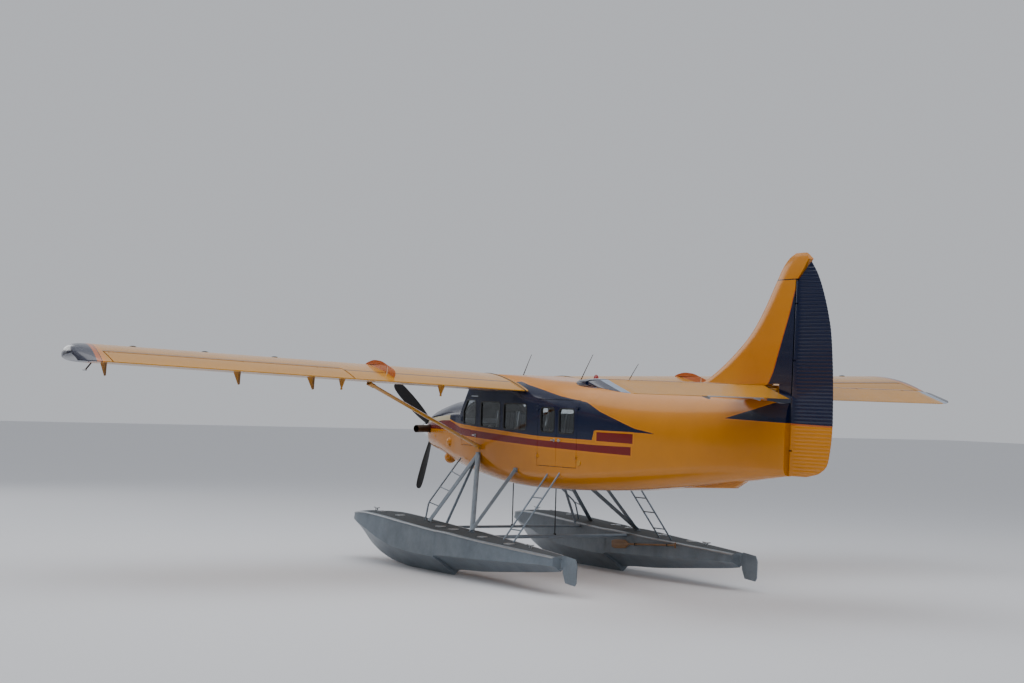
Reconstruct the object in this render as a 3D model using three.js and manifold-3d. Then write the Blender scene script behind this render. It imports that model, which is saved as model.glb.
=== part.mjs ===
// Single-engined high-wing floatplane, standing on the keels of its two floats.
// Millimetres, +Z up, +X to port, +Y aft, so the nose points along -Y.
// Shapes are worked out in the aircraft's own datum: x = 0 on the centreline, y = 0 at the
// wing's leading edge at the root, z = 0 at the wing's trailing edge at the root.
// The finished group is then set down so that the keels touch z = 0.

import * as THREE from 'three';
import { mergeVertices } from 'three/addons/utils/BufferGeometryUtils.js';
import Module from 'manifold-3d';

const wasm = await Module();
wasm.setup();

// Driving dimensions
const SEAT = 0.3;                 // gap between pieces that rest on each other
const RUNNING = 12;               // gap round a moving surface
const KEEL_Z = -3200;             // lowest line of the floats
const MIDDLE_Y = 2990;            // middle of the length, from spinner to rudder
const FAR = 12000;                // reach of a cutting block

const WING = {
  chord: 1980, tipX: 8600, tipJoint: 8210, rootX: 690, dihedral: 1.815,
  camber: 0.04, camberAt: 0.4, thickness: 0.155, leadingZ: 105,
};
const FLAP = { from: 860, to: 4060, noseY: 1375, shroudY: 1530, axisY: 1360, axisZ: -165 };
const FLAP_BRACKETS = [2130, 4020];
const AILERON = { from: 4085, to: 8190, axisY: 1480, axisZ: 82, noseRadius: 80 };
const AILERON_HINGES = [4550, 5870, 8120];
const FENCE = { x: 3270, from: 690, to: 1800, baseZ: 180, height: 220, thickness: 8 };
const WING_STRUT = {
  foot: [812, 430, -1000], top: [3200, 640, 93], chord: 150, thickness: 62,
};

const TAIL = {
  leadingY: 7100, hingeY: 7800, trailingY: 8440, z: 135, tipX: 3220, tipFrom: 2740,
  noseRadius: 60, droop: 12, elevatorInner: 135,
};
const TAIL_HINGES = [620, 1650, 2560];
const FIN_HINGE = { y: 8372, z: -1110, lean: 1.43 };
const RUDDER_NOSE = 56;
const RUDDER_HINGES = [-760, 560, 1400];

const WALL = 45;                  // cabin walls and doors
const TAIL_SKIN = 12;
const COWL_SKIN = 22;
const FIREWALL_Y = -800;
const CABIN_END_Y = 3900;
const ROOF_FROM = 1985;            // aft edge of the wing's centre section
const CEILING_Z = -50;
const FLOOR_Z = -1330;
const DOOR_GAP = 8;
const PROPELLER = { y: -2880, z: -745, blades: 3, firstAngle: -75.5 };
const FLOAT_X = 1755;

// Solids and surfaces
const rad = THREE.MathUtils.degToRad;
const point = (x, y, z) => new THREE.Vector3(x, y, z);
const OTHER_AXES = { x: ['y', 'z'], y: ['x', 'z'], z: ['x', 'y'] };

function solid(geometry) {
  const bare = geometry.clone();
  bare.deleteAttribute('normal');
  bare.deleteAttribute('uv');
  const merged = mergeVertices(bare, 1e-3);
  return new wasm.Manifold(new wasm.Mesh({
    numProp: 3,
    vertProperties: new Float32Array(merged.attributes.position.array),
    triVerts: new Uint32Array(merged.index.array),
  }));
}

const join = (...parts) => parts.flat().reduce((sum, part) => sum.add(part));
const cut = (body, ...tools) => tools.flat().reduce((left, tool) => left.subtract(tool), body);

// Triangles over a flat ring, turned with the ring (sense 1) or against it (sense -1).
function capFaces(ring, axes, sense) {
  const outline = ring.map((p) => new THREE.Vector2(p[axes[0]], p[axes[1]]));
  const wanted = Math.sign(THREE.ShapeUtils.area(outline)) * sense;
  return THREE.ShapeUtils.triangulateShape(outline, []).map(([a, b, c]) => {
    const turn = Math.sign(THREE.ShapeUtils.area([outline[a], outline[b], outline[c]]));
    return turn === wanted ? [a, b, c] : [a, c, b];
  });
}

// Closed skin over a row of rings with equal numbers of points; flat names the axis across
// which the two end rings lie.
function loft(rings, flat) {
  const count = rings[0].length;
  const last = (rings.length - 1) * count;
  const faces = [];
  for (let start = 0; start < last; start += count) {
    for (let i = 0; i < count; i++) {
      const a = start + i;
      const b = start + (i + 1) % count;
      faces.push([a, b, a + count], [b, b + count, a + count]);
    }
  }
  faces.push(...capFaces(rings[0], OTHER_AXES[flat], -1));
  faces.push(...capFaces(rings[rings.length - 1], OTHER_AXES[flat], 1)
    .map((face) => face.map((i) => i + last)));
  const points = rings.flat();
  const volume = faces.reduce((sum, [a, b, c]) =>
    sum + points[a].dot(point(0, 0, 0).crossVectors(points[b], points[c])), 0);
  const outward = volume > 0 ? faces : faces.map(([a, b, c]) => [a, c, b]);
  const geometry = new THREE.BufferGeometry();
  geometry.setAttribute('position',
    new THREE.Float32BufferAttribute(points.flatMap((p) => [p.x, p.y, p.z]), 3));
  geometry.setIndex(outward.flat());
  return solid(geometry);
}

// Outline of [y, z] points carried along x from one station to another.
function plate(outline, fromX, toX) {
  return loft([fromX, toX].map((x) => outline.map(([y, z]) => point(x, y, z))), 'x');
}

// Outline of [x, y] points carried up from one height to another.
function slab(outline, fromZ, toZ) {
  return loft([fromZ, toZ].map((z) => outline.map(([x, y]) => point(x, y, z))), 'z');
}

function box(x0, x1, y0, y1, z0, z1) {
  return slab([[x0, y0], [x1, y0], [x1, y1], [x0, y1]], z0, z1);
}

// Round or flattened bar between two points; across is the direction of its wider radius.
function bar(from, to, radius, sides = 10, narrow = radius, across = point(0, 1, 0)) {
  const along = to.clone().sub(from).normalize();
  const side = Math.abs(along.dot(across)) > 0.99 ? point(1, 0, 0) : across;
  const wide = side.clone().addScaledVector(along, -side.dot(along)).normalize();
  const thin = point(0, 0, 0).crossVectors(along, wide);
  const ring = (centre) => Array.from({ length: sides }, (_, i) => {
    const turn = (i / sides) * 2 * Math.PI;
    return centre.clone().addScaledVector(wide, radius * Math.cos(turn))
      .addScaledVector(thin, narrow * Math.sin(turn));
  });
  const size = along.toArray().map(Math.abs);
  const flat = ['x', 'y', 'z'][size.indexOf(Math.max(...size))];
  return loft([ring(from), ring(to)], flat);
}

const pinAlongX = (x0, x1, y, z, radius, sides = 16) =>
  bar(point(x0, y, z), point(x1, y, z), radius, sides);

function turned(profile, segments = 24) {
  const points = profile.map(([r, h]) => new THREE.Vector2(r, h));
  return solid(new THREE.LatheGeometry(points, segments));
}

const mirrorX = (body) => body.mirror([1, 0, 0]);
const onSide = (side, body) => (side > 0 ? body : mirrorX(body));

const model = new THREE.Group();
model.position.set(0, -MIDDLE_Y, -KEEL_Z);

const PAINT = { roughness: 0.3, metalness: 0 };
const YELLOW = { color: 0xd98a12, ...PAINT };
const NAVY = { color: 0x14203a, ...PAINT };
const FLOAT_GREY = { color: 0x9aa3ab, roughness: 0.45, metalness: 0.3 };
const STRUT_GREY = { color: 0xa9b4be, roughness: 0.4, metalness: 0.2 };
const DARK_METAL = { color: 0x2b2a2c, roughness: 0.5, metalness: 0.7 };
const BLACK = { color: 0x121214, roughness: 0.45, metalness: 0 };
const BRIGHT_METAL = { color: 0xc4c6c8, roughness: 0.2, metalness: 1 };
const TRIM = { color: 0x4a4a4c, roughness: 0.8, metalness: 0 };

function piece(name, body, look) {
  const mesh = body.getMesh();
  const geometry = new THREE.BufferGeometry();
  geometry.setAttribute('position', new THREE.BufferAttribute(mesh.vertProperties, 3));
  geometry.setIndex(new THREE.BufferAttribute(mesh.triVerts, 1));
  geometry.computeVertexNormals();
  const result = new THREE.Mesh(geometry, new THREE.MeshStandardMaterial(look));
  result.name = name;
  model.add(result);
}

// Fuselage sections. Columns: station, half width, bottom, top, bottom corner, top corner across and down
const CABIN_ROWS = [
  [-800, 650, -1375, 78, 230, 60, 60],
  [-300, 735, -1440, 84, 240, 60, 60],
  [-20, 770, -1475, 108, 245, 60, 60],
  [60, 777, -1485, 180, 245, 60, 60],
  [250, 790, -1505, 262, 250, 60, 60],
  [480, 800, -1530, 302, 250, 60, 60],
  [720, 800, -1560, 316, 250, 80, 80],
  [1100, 800, -1600, 306, 250, 180, 180],
  [1500, 800, -1625, 284, 250, 310, 310],
  [1985, 795, -1638, 252, 255, 430, 430],
  [2600, 770, -1636, 222, 265, 470, 480],
  [3250, 722, -1622, 190, 285, 500, 540],
  [3900, 660, -1594, 156, 305, 520, 600],
  [4700, 575, -1540, 116, 320, 510, 660],
  [5500, 482, -1465, 76, 320, 455, 700],
  [6300, 385, -1380, 40, 300, 375, 710],
  [7100, 288, -1288, 6, 250, 284, 690],
  [7800, 196, -1200, -24, 175, 194, 640],
  [8300, 108, -1138, -46, 100, 107, 560],
];
// Deck between the firewall and the windscreen
const DECK_ROWS = [
  [-800, 650, -1375, -150, 230, 480, 340],
  [-300, 735, -1440, -110, 240, 560, 390],
];
const COWL_ROWS = [
  [-2720, 205, -1035, -520, 190, 195, 190],
  [-2660, 245, -1080, -487, 215, 230, 215],
  [-2540, 305, -1115, -435, 240, 285, 240],
  [-2250, 405, -1145, -360, 260, 350, 290],
  [-1800, 505, -1195, -270, 260, 405, 330],
  [-1300, 585, -1285, -190, 250, 450, 340],
  [FIREWALL_Y + 0.2, ...DECK_ROWS[0].slice(1)],
];
const CORNER_STEPS = 4;

// Ring round one section with quarter-ellipse corners, drawn in by inset for an inner skin.
const LEAST_CORNER = 15;
function sectionRing([y, halfWidth, bottom, top, bottomCorner, topAcross, topDown], inset) {
  const w = halfWidth - inset;
  const [round, across, down] = [bottomCorner, topAcross, topDown]
    .map((size) => Math.max(size - inset, LEAST_CORNER));
  const corners = [
    // side, edge, radius across, radius down, first angle, up or down
    [1, top - inset, across, down, 0, 1],
    [-1, top - inset, across, down, 90, 1],
    [-1, bottom + inset, round, round, 180, -1],
    [1, bottom + inset, round, round, 270, -1],
  ];
  return corners.flatMap(([side, edge, wide, tall, start, up]) =>
    Array.from({ length: CORNER_STEPS + 1 }, (_, step) => {
      const turn = rad(start + (90 * step) / CORNER_STEPS);
      return point(side * (w - wide) + wide * Math.cos(turn), y, edge - up * tall + tall * Math.sin(turn));
    }));
}

const fuselageLoft = (rows, inset) => loft(rows.map((row) => sectionRing(row, inset)), 'y');

function rowsBetween(from, to) {
  return CABIN_ROWS.filter(([y]) => y >= from && y <= to);
}

// Section at any station, in a straight line between the rows each side of it.
function rowAt(rows, y) {
  const found = rows.findIndex(([station]) => station >= y);
  const after = found < 0 ? rows.length - 1 : Math.max(1, found);
  const share = (y - rows[after - 1][0]) / (rows[after][0] - rows[after - 1][0]);
  return rows[after].map((value, i) => rows[after - 1][i] + share * (value - rows[after - 1][i]));
}

// Windscreen: two sloping planes that meet in a ridge on the centreline
const SCREEN = { sideY: -640, sideZ: -510, rise: 0.864, sweep: 0.32, sideX: 620 };

// Everything ahead of the windscreen's outer face moved aft by depth.
function aheadOfScreen(depth) {
  const screenY = (x, z) => SCREEN.sideY + (z - SCREEN.sideZ) * SCREEN.rise
    - (SCREEN.sideX - x) * SCREEN.sweep + depth;
  const wedge = (side) => {
    const ring = (x) => [
      point(side * x, screenY(x, -1700), -1700), point(side * x, screenY(x, 500), 500),
      point(side * x, -4000, 500), point(side * x, -4000, -1700),
    ];
    return loft([ring(-2), ring(1200)], 'x');
  };
  return join(wedge(1), wedge(-1));
}

const hull = fuselageLoft(CABIN_ROWS, 0);
const hullSeat = fuselageLoft(CABIN_ROWS, -SEAT);

const cabinOuter = fuselageLoft(rowsBetween(-800, CABIN_END_Y), 0);
const movedTo = (y, row) => [y, ...row.slice(1)];
const cabinMiddle = rowsBetween(-300, 3250);
const cabinInner = cut(
  fuselageLoft([movedTo(-840, CABIN_ROWS[0]), ...cabinMiddle, ...rowsBetween(3900, 3900),
    rowAt(CABIN_ROWS, 3950)], WALL),
  box(-FAR, FAR, -FAR, ROOF_FROM - WALL, CEILING_Z, FAR));
const cabinShell = cut(cabinOuter, cabinInner);

// Openings in the cabin sides, as outlines of [y, z] points
const rectangle = (y0, y1, z0, z1) => [[y0, z0], [y1, z0], [y1, z1], [y0, z1]];
const SIDE_WINDOWS = [rectangle(425, 1110, -640, -190), rectangle(1250, 2030, -655, -205)];
const REAR_WINDOW = rectangle(3200, 3560, -680, -275);
const WINDOW_CORNER = 65;

const CREW_DOOR = [[-430, -985], [285, -985], [285, -95], [-190, -95], [-430, -355]];
const CREW_WINDOW = [[-350, -610], [215, -610], [215, -165], [-160, -165], [-350, -370]];
const CREW_HINGES = [-850, -520];

// Doors: name, side, hinge line, outline, window outline, heights of the two hinges
const DOORS = [
  ['crew_door_port', 1, -430, CREW_DOOR, CREW_WINDOW, CREW_HINGES],
  ['crew_door_starboard', -1, -430, CREW_DOOR, CREW_WINDOW, CREW_HINGES],
  ['cargo_door_fore', 1, 2400, rectangle(2400, 2950, -1240, -115),
    rectangle(2485, 2885, -665, -255), [-1080, -260]],
  ['cargo_door_aft', 1, 3520, rectangle(2958, 3520, -1240, -115),
    rectangle(3020, 3435, -675, -265), [-1080, -260]],
  ['cabin_door_starboard', -1, 2400, rectangle(2400, 3080, -1240, -115),
    rectangle(2500, 2960, -665, -255), [-1080, -260]],
];

// Convex outline with every edge moved out by the same amount.
function grown(outline, amount) {
  const count = outline.length;
  return outline.map((corner, i) => {
    const before = outline[(i + count - 1) % count];
    const after = outline[(i + 1) % count];
    const [ay, az] = [corner[0] - before[0], corner[1] - before[1]];
    const [by, bz] = [after[0] - corner[0], after[1] - corner[1]];
    const a = Math.hypot(ay, az);
    const b = Math.hypot(by, bz);
    const [ny, nz] = [az / a, -ay / a];
    const [my, mz] = [bz / b, -by / b];
    const reach = amount / (1 + ny * my + nz * mz);
    return [corner[0] + (ny + my) * reach, corner[1] + (nz + mz) * reach];
  });
}

// Outline with each corner cut to a short arc.
function rounded(outline, radius) {
  const count = outline.length;
  return outline.flatMap((corner, i) => {
    const here = new THREE.Vector2(...corner);
    const toBefore = new THREE.Vector2(...outline[(i + count - 1) % count]).sub(here).normalize();
    const toAfter = new THREE.Vector2(...outline[(i + 1) % count]).sub(here).normalize();
    const half = Math.acos(THREE.MathUtils.clamp(toBefore.dot(toAfter), -1, 1)) / 2;
    const reach = radius / Math.tan(half);
    const start = here.clone().addScaledVector(toBefore, reach);
    const end = here.clone().addScaledVector(toAfter, reach);
    const curve = new THREE.QuadraticBezierCurve(start, here, end);
    return curve.getPoints(3).map((p) => [p.x, p.y]);
  });
}

// Reach across the aircraft of a cut through one side wall
const WALL_CUT = [200, 1200];
const windowCut = (outline, side) =>
  onSide(side, plate(rounded(outline, WINDOW_CORNER), ...WALL_CUT));

const widthAt = (y) => rowAt(CABIN_ROWS, y)[1];

// Distance from the centreline to the skin at a station and height above the bottom corner.
function skinAt(y, z) {
  const [, halfWidth, , top, , across, down] = rowAt(CABIN_ROWS, y);
  const up = Math.max(0, z - (top - down)) / down;
  return halfWidth - across * (1 - Math.sqrt(1 - up * up));
}

// Door hinge: a knuckle on the door turns between two lugs on the wall, clear of the skin.
const KNUCKLE = {
  radius: 11, height: 44, lug: 20, stand: 12, arm: 60, innerFace: 4, outerFace: 6, bite: 12,
};

function knuckleBars(hingeY, height, side) {
  const x = side * (widthAt(hingeY) + KNUCKLE.stand);
  const post = (from, to) => bar(point(x, hingeY, from), point(x, hingeY, to), KNUCKLE.radius);
  const half = KNUCKLE.height / 2;
  const lug = half + SEAT;
  return {
    moving: post(height - half, height + half),
    fixed: [post(height + lug, height + lug + KNUCKLE.lug), post(height - lug - KNUCKLE.lug, height - lug)],
  };
}

// Strap from a hinge's barrel to the skin on one side of it.
function strap(hingeY, toward, side, from, to) {
  const x = widthAt(hingeY) + KNUCKLE.stand;
  const endY = hingeY + toward * KNUCKLE.arm;
  const skin = skinAt(endY, to);
  const outline = [[x - KNUCKLE.innerFace, hingeY], [x + KNUCKLE.outerFace, hingeY],
    [skin + KNUCKLE.outerFace, endY], [skin - KNUCKLE.bite, endY]];
  return onSide(side, slab(outline, from, to));
}

function makeDoor([name, side, hingeY, outline, window, heights]) {
  const into = hingeY === Math.min(...outline.map(([y]) => y)) ? 1 : -1;
  const leaf = cut(cabinShell.intersect(onSide(side, plate(outline, ...WALL_CUT))), windowCut(window, side));
  const barrels = heights.map((height) => knuckleBars(hingeY, height, side));
  const half = KNUCKLE.height / 2;
  const straps = heights.map((height) => strap(hingeY, into, side, height - half, height + half));
  piece(name, join(leaf, barrels.map((b) => b.moving), straps), YELLOW);
  const lugStraps = heights.flatMap((height) => [1, -1].map((end) => {
    const near = height + end * (half + SEAT);
    const far = near + end * KNUCKLE.lug;
    return strap(hingeY, -into, side, Math.min(near, far), Math.max(near, far));
  }));
  return {
    side,
    opening: onSide(side, plate(grown(outline, DOOR_GAP), ...WALL_CUT)),
    lugs: join(barrels.flatMap((b) => b.fixed), lugStraps),
  };
}

const doors = DOORS.map(makeDoor);

// Windscreen frame, with a pane opening each side of the centre post and the rounded deck ahead of it
const FRAME_DEPTH = 40;
const DECK_SKIN = 30;
const SILL_Z = SCREEN.sideZ + 10;
const FRAME_TOP_Z = 140;
const NOSE_OPENING = { halfWidth: 500, aft: -700 };
const belowSill = box(-FAR, FAR, -FAR, FAR, -FAR, SILL_Z);
const paneOutline = [[45, -95], [45, -8], [640, -8], [640, -430], [575, -420], [490, -270], [300, -150]];
const paneOpening = (side) =>
  loft([-1300, 400].map((y) => paneOutline.map(([x, z]) => point(side * x, y, z))), 'y');
const aboveSill = box(-FAR, FAR, FIREWALL_Y + 0.5, 400, SILL_Z + SEAT, FRAME_TOP_Z);
const screenSlab = cut(hull.intersect(aboveSill), aheadOfScreen(0)).intersect(aheadOfScreen(FRAME_DEPTH));
const deckInside = [movedTo(-900, DECK_ROWS[0]), movedTo(0, DECK_ROWS[1])];
const deckShell = cut(fuselageLoft(DECK_ROWS, 0), fuselageLoft(deckInside, DECK_SKIN))
  .intersect(aboveSill).intersect(aheadOfScreen(FRAME_DEPTH));
piece('windscreen_frame', join(cut(screenSlab, paneOpening(1), paneOpening(-1)), deckShell), NAVY);

// Cabin walls, split where the real panels meet
const BELLY_Z = FLOOR_Z - 12;
const ROOF_Z = -95;
const aheadOfWalls = cut(aheadOfScreen(FRAME_DEPTH + SEAT), belowSill);
for (const [name, side, windows] of [
  ['cabin_side_port', 1, SIDE_WINDOWS],
  ['cabin_side_starboard', -1, [...SIDE_WINDOWS, REAR_WINDOW]],
]) {
  const half = onSide(side,
    box(1, FAR, FIREWALL_Y + 0.5, CABIN_END_Y - SEAT, BELLY_Z + SEAT, CEILING_Z - SEAT));
  const wall = cut(cabinShell.intersect(half), aheadOfWalls,
    box(-FAR, FAR, ROOF_FROM, FAR, ROOF_Z, FAR),
    box(-NOSE_OPENING.halfWidth, NOSE_OPENING.halfWidth, -FAR, NOSE_OPENING.aft, -FAR, FAR));
  const ownDoors = doors.filter((d) => d.side === side);
  const opened = cut(wall, ownDoors.map((d) => d.opening), windows.map((w) => windowCut(w, side)));
  piece(name, join(opened, ownDoors.map((d) => d.lugs)), NAVY);
}

const inCabin = box(-FAR, FAR, FIREWALL_Y + 0.5, CABIN_END_Y - SEAT, -FAR, FAR);
piece('belly', cut(cabinShell.intersect(inCabin), box(-FAR, FAR, -FAR, FAR, BELLY_Z - SEAT, FAR)), YELLOW);
piece('rear_roof', cabinShell.intersect(
  box(-FAR, FAR, ROOF_FROM + SEAT, CABIN_END_Y - SEAT, ROOF_Z + SEAT, FAR)), YELLOW);

// Centre section of the wing, with the brow over the windscreen; it closes the cabin's top.
const BROW_FROM = -600;
const centreBlock = box(-FAR, FAR, BROW_FROM, ROOF_FROM, CEILING_Z, FAR);
piece('wing_centre', cut(hull.intersect(centreBlock), aheadOfScreen(FRAME_DEPTH + SEAT)), NAVY);

// Cabin inside: floor, rear bulkhead, panel and seats
const FLOOR = { from: -780, to: 3850, thickness: 25 };
const BULKHEAD = { from: 3851, to: 3885, top: 90 };
const PANEL = { from: -779, to: -640, bottom: -930, top: -590, pedestalHalf: 90, pedestalTo: -560 };
const FLOOR_TOP_Z = FLOOR_Z + FLOOR.thickness;
const cabinInside = fuselageLoft(
  [movedTo(-790, CABIN_ROWS[0]), ...cabinMiddle, rowAt(CABIN_ROWS, 3890)], WALL + SEAT);
piece('cabin_floor', cabinInside.intersect(
  box(-FAR, FAR, FLOOR.from, FLOOR.to, FLOOR_Z, FLOOR_TOP_Z)), TRIM);
piece('cabin_bulkhead', cabinInside.intersect(
  box(-FAR, FAR, BULKHEAD.from, BULKHEAD.to, FLOOR_Z + SEAT, BULKHEAD.top)), TRIM);
piece('instrument_panel', join(
  cabinInside.intersect(box(-FAR, FAR, PANEL.from, PANEL.to, PANEL.bottom, PANEL.top)),
  box(-PANEL.pedestalHalf, PANEL.pedestalHalf, PANEL.from, PANEL.pedestalTo,
    FLOOR_TOP_Z + SEAT, PANEL.bottom + 1)), TRIM);

// Seats: name, middle across the cabin, width, front edge
const SEATS = [
  ['seat_pilot', 330, 460, 40],
  ['seat_co_pilot', -330, 460, 40],
  ['seat_fore_port', 400, 480, 900],
  ['seat_fore_starboard', -400, 480, 900],
  ['seat_rear', -250, 900, 1800],
];
const SEAT_OUTLINE = [
  // distance aft of the front edge, height above the floor
  [40, 0], [430, 0], [430, 250], [560, 990], [470, 1000], [350, 400], [0, 410], [0, 290], [40, 270],
];
for (const [name, middle, width, front] of SEATS) {
  const outline = SEAT_OUTLINE.map(([aft, up]) => [front + aft, FLOOR_TOP_Z + SEAT + up]);
  piece(name, plate(outline, middle - width / 2, middle + width / 2), TRIM);
}

// Nose: cowling in two halves round the engine block, exhaust pipes, firewall
const cowlOuter = fuselageLoft(COWL_ROWS, 0);
const FIREWALL_FRONT_Y = FIREWALL_Y - 29;
const innerRows = [rowAt(COWL_ROWS, -2700), ...COWL_ROWS.slice(1, -1),
  rowAt(COWL_ROWS, FIREWALL_FRONT_Y), rowAt(COWL_ROWS, -790)];
const COWL_MOUTH = [-2800, -2600];  // stations that cuts through the cowling's front wall span
const SHAFT_HOLE_RADIUS = 125;
const onAxis = (y) => point(0, y, PROPELLER.z);
const shaftHole = bar(...COWL_MOUTH.map(onAxis), SHAFT_HOLE_RADIUS, 24);
const EXHAUST = {
  y: -2330, z: -742, radius: 72, bore: 64, inner: 180, elbow: 395, outX: 735, outY: -2215, drop: 8,
  holeRadius: 95, holeFrom: 250, holeTo: 600, holeAft: 20,
};
const exhaustHole = (side) => onSide(side, bar(point(EXHAUST.holeFrom, EXHAUST.y, EXHAUST.z),
  point(EXHAUST.holeTo, EXHAUST.y + EXHAUST.holeAft, EXHAUST.z), EXHAUST.holeRadius, 16));
const INTAKE = [[-105, -1000], [105, -1000], [125, -955], [105, -930], [-105, -930], [-125, -955]];
const intake = loft([COWL_MOUTH[0], -2640].map((y) => INTAKE.map(([x, z]) => point(x, y, z))), 'y');
const cowl = cut(cowlOuter, fuselageLoft(innerRows, COWL_SKIN), shaftHole,
  exhaustHole(1), exhaustHole(-1), intake);
// Round blisters on the lower cowling: middle, radius, share of it kept across the aircraft
const BLISTERS = [
  { middle: [575, -1190, -970], radius: 85, across: 0.65 },
  { middle: [410, -1330, -1295], radius: 105, across: 1 },
];
const blisters = BLISTERS.flatMap(({ middle, radius, across }) => [1, -1].map((side) => {
  const ball = new THREE.SphereGeometry(radius, 16, 10).scale(across, 1, 1).translate(...middle);
  return onSide(side, solid(ball));
}));
const COWL_SPLIT_Z = PROPELLER.z;
const upperHalf = box(-FAR, FAR, -FAR, FAR, COWL_SPLIT_Z + SEAT / 2, FAR);
const lowerHalf = box(-FAR, FAR, -FAR, FAR, -FAR, COWL_SPLIT_Z - SEAT / 2);
piece('cowl_upper', cowl.intersect(upperHalf), NAVY);
piece('cowl_lower', join(cowl.intersect(lowerHalf), blisters), YELLOW);

const firewall = loft([FIREWALL_FRONT_Y, FIREWALL_Y + 0.2]
  .map((y) => sectionRing(rowAt(COWL_ROWS, y), COWL_SKIN + SEAT)), 'y');
piece('firewall', firewall, TRIM);

// Round bodies on the propeller's axis: block, gear case and shaft, as front, rear and radius
const HUB_REAR = 62;
const ENGINE_BODIES = [[-2500, -1400, 235], [-2700, -2499, 150], [PROPELLER.y + HUB_REAR, -2699, 60]];
const engineCore = ENGINE_BODIES.map(([front, rear, radius]) => bar(onAxis(front), onAxis(rear), radius, 16));
const MOUNT = {
  front: -1450, frontX: 150, frontZ: 120, rear: -810, rearX: 330, rearZ: 260, drop: 60, radius: 18,
};
const mountFrame = [[1, 1], [1, -1], [-1, 1], [-1, -1]].map(([sx, sz]) => bar(
  point(sx * MOUNT.frontX, MOUNT.front, PROPELLER.z + sz * MOUNT.frontZ),
  point(sx * MOUNT.rearX, MOUNT.rear, PROPELLER.z - MOUNT.drop + sz * MOUNT.rearZ), MOUNT.radius, 6));
const aheadOfFirewall = box(-FAR, FAR, -FAR, FIREWALL_FRONT_Y - SEAT, -FAR, FAR);
function exhaust(side) {
  const elbow = point(side * EXHAUST.elbow, EXHAUST.y, EXHAUST.z);
  const mouth = point(side * EXHAUST.outX, EXHAUST.outY, EXHAUST.z - EXHAUST.drop);
  const root = point(side * EXHAUST.inner, EXHAUST.y, EXHAUST.z);
  const before = elbow.clone().lerp(mouth, -0.08);
  const past = mouth.clone().lerp(elbow, -0.05);
  const up = point(0, 0, 1);
  const pipe = join(bar(root, elbow, EXHAUST.radius, 12, EXHAUST.radius, up),
    bar(before, mouth, EXHAUST.radius, 12, EXHAUST.radius, up));
  return cut(pipe, bar(elbow, past, EXHAUST.bore, 12, EXHAUST.bore, up));
}
piece('engine', join(engineCore, mountFrame, exhaust(1), exhaust(-1))
  .intersect(aheadOfFirewall), DARK_METAL);

// Propeller: hub with three blades, and a spinner
const BLADE_ROWS = [
  // distance out, chord, thickness, twist from the propeller's plane
  [95, 96, 84, 60], [230, 150, 60, 50], [420, 200, 40, 40], [700, 218, 27, 31],
  [980, 205, 19, 25], [1140, 172, 13, 21], [1205, 118, 10, 20], [1225, 60, 8, 20],
];
function blade(angle) {
  const out = point(Math.cos(angle), 0, Math.sin(angle));
  const side = point(-Math.sin(angle), 0, Math.cos(angle));
  const fore = point(0, 1, 0);
  const rings = BLADE_ROWS.map(([reach, chord, thickness, twist]) => {
    const [c, s] = [Math.cos(rad(twist)), Math.sin(rad(twist))];
    const wide = side.clone().multiplyScalar(c).addScaledVector(fore, s);
    const thin = fore.clone().multiplyScalar(c).addScaledVector(side, -s);
    return Array.from({ length: 10 }, (_, i) => {
      const turn = (i / 10) * 2 * Math.PI;
      return out.clone().multiplyScalar(reach).addScaledVector(wide, (chord / 2) * Math.cos(turn))
        .addScaledVector(thin, (thickness / 2) * Math.sin(turn))
        .add(point(0, PROPELLER.y, PROPELLER.z));
    });
  });
  return loft(rings, Math.abs(out.x) > Math.abs(out.z) ? 'x' : 'z');
}
const onShaft = (ahead) => point(0, PROPELLER.y - ahead, PROPELLER.z);
const hub = bar(onShaft(75), onShaft(SEAT - HUB_REAR), 105, 20);
const dome = bar(onShaft(300), onShaft(74), 55, 16);
const bladeAngles = Array.from({ length: PROPELLER.blades }, (_, i) =>
  rad(PROPELLER.firstAngle + (360 / PROPELLER.blades) * i));
piece('propeller', join(hub, dome, bladeAngles.map(blade)), BLACK);

const SPINNER = [[0, 385], [45, 376], [95, 340], [140, 268], [175, 150], [190, 0], [190, -60],
  [106, -60], [106, -54], [184, -54], [183, 0], [168, 148], [133, 262], [70, 330], [0, 330.5]];
const spinnerShell = turned(SPINNER.toReversed(), 24).rotate([180, 0, 0])
  .translate([0, PROPELLER.y, PROPELLER.z]);
const SLOT = { from: 100, to: 300, radius: 76 };
const bladeSlots = bladeAngles.map((angle) => {
  const out = point(Math.cos(angle), 0, Math.sin(angle));
  return bar(onShaft(0).addScaledVector(out, SLOT.from), onShaft(0).addScaledVector(out, SLOT.to),
    SLOT.radius, 12);
});
piece('spinner', cut(spinnerShell, bladeSlots), BRIGHT_METAL);

// Rear fuselage: a tapered shell, closed aft, open to the cabin's bulkhead
const rudderAxis = (z) => FIN_HINGE.y + (z - FIN_HINGE.z) * Math.tan(rad(FIN_HINGE.lean));
const rudderPoint = (z) => point(0, rudderAxis(z), z);
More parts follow.
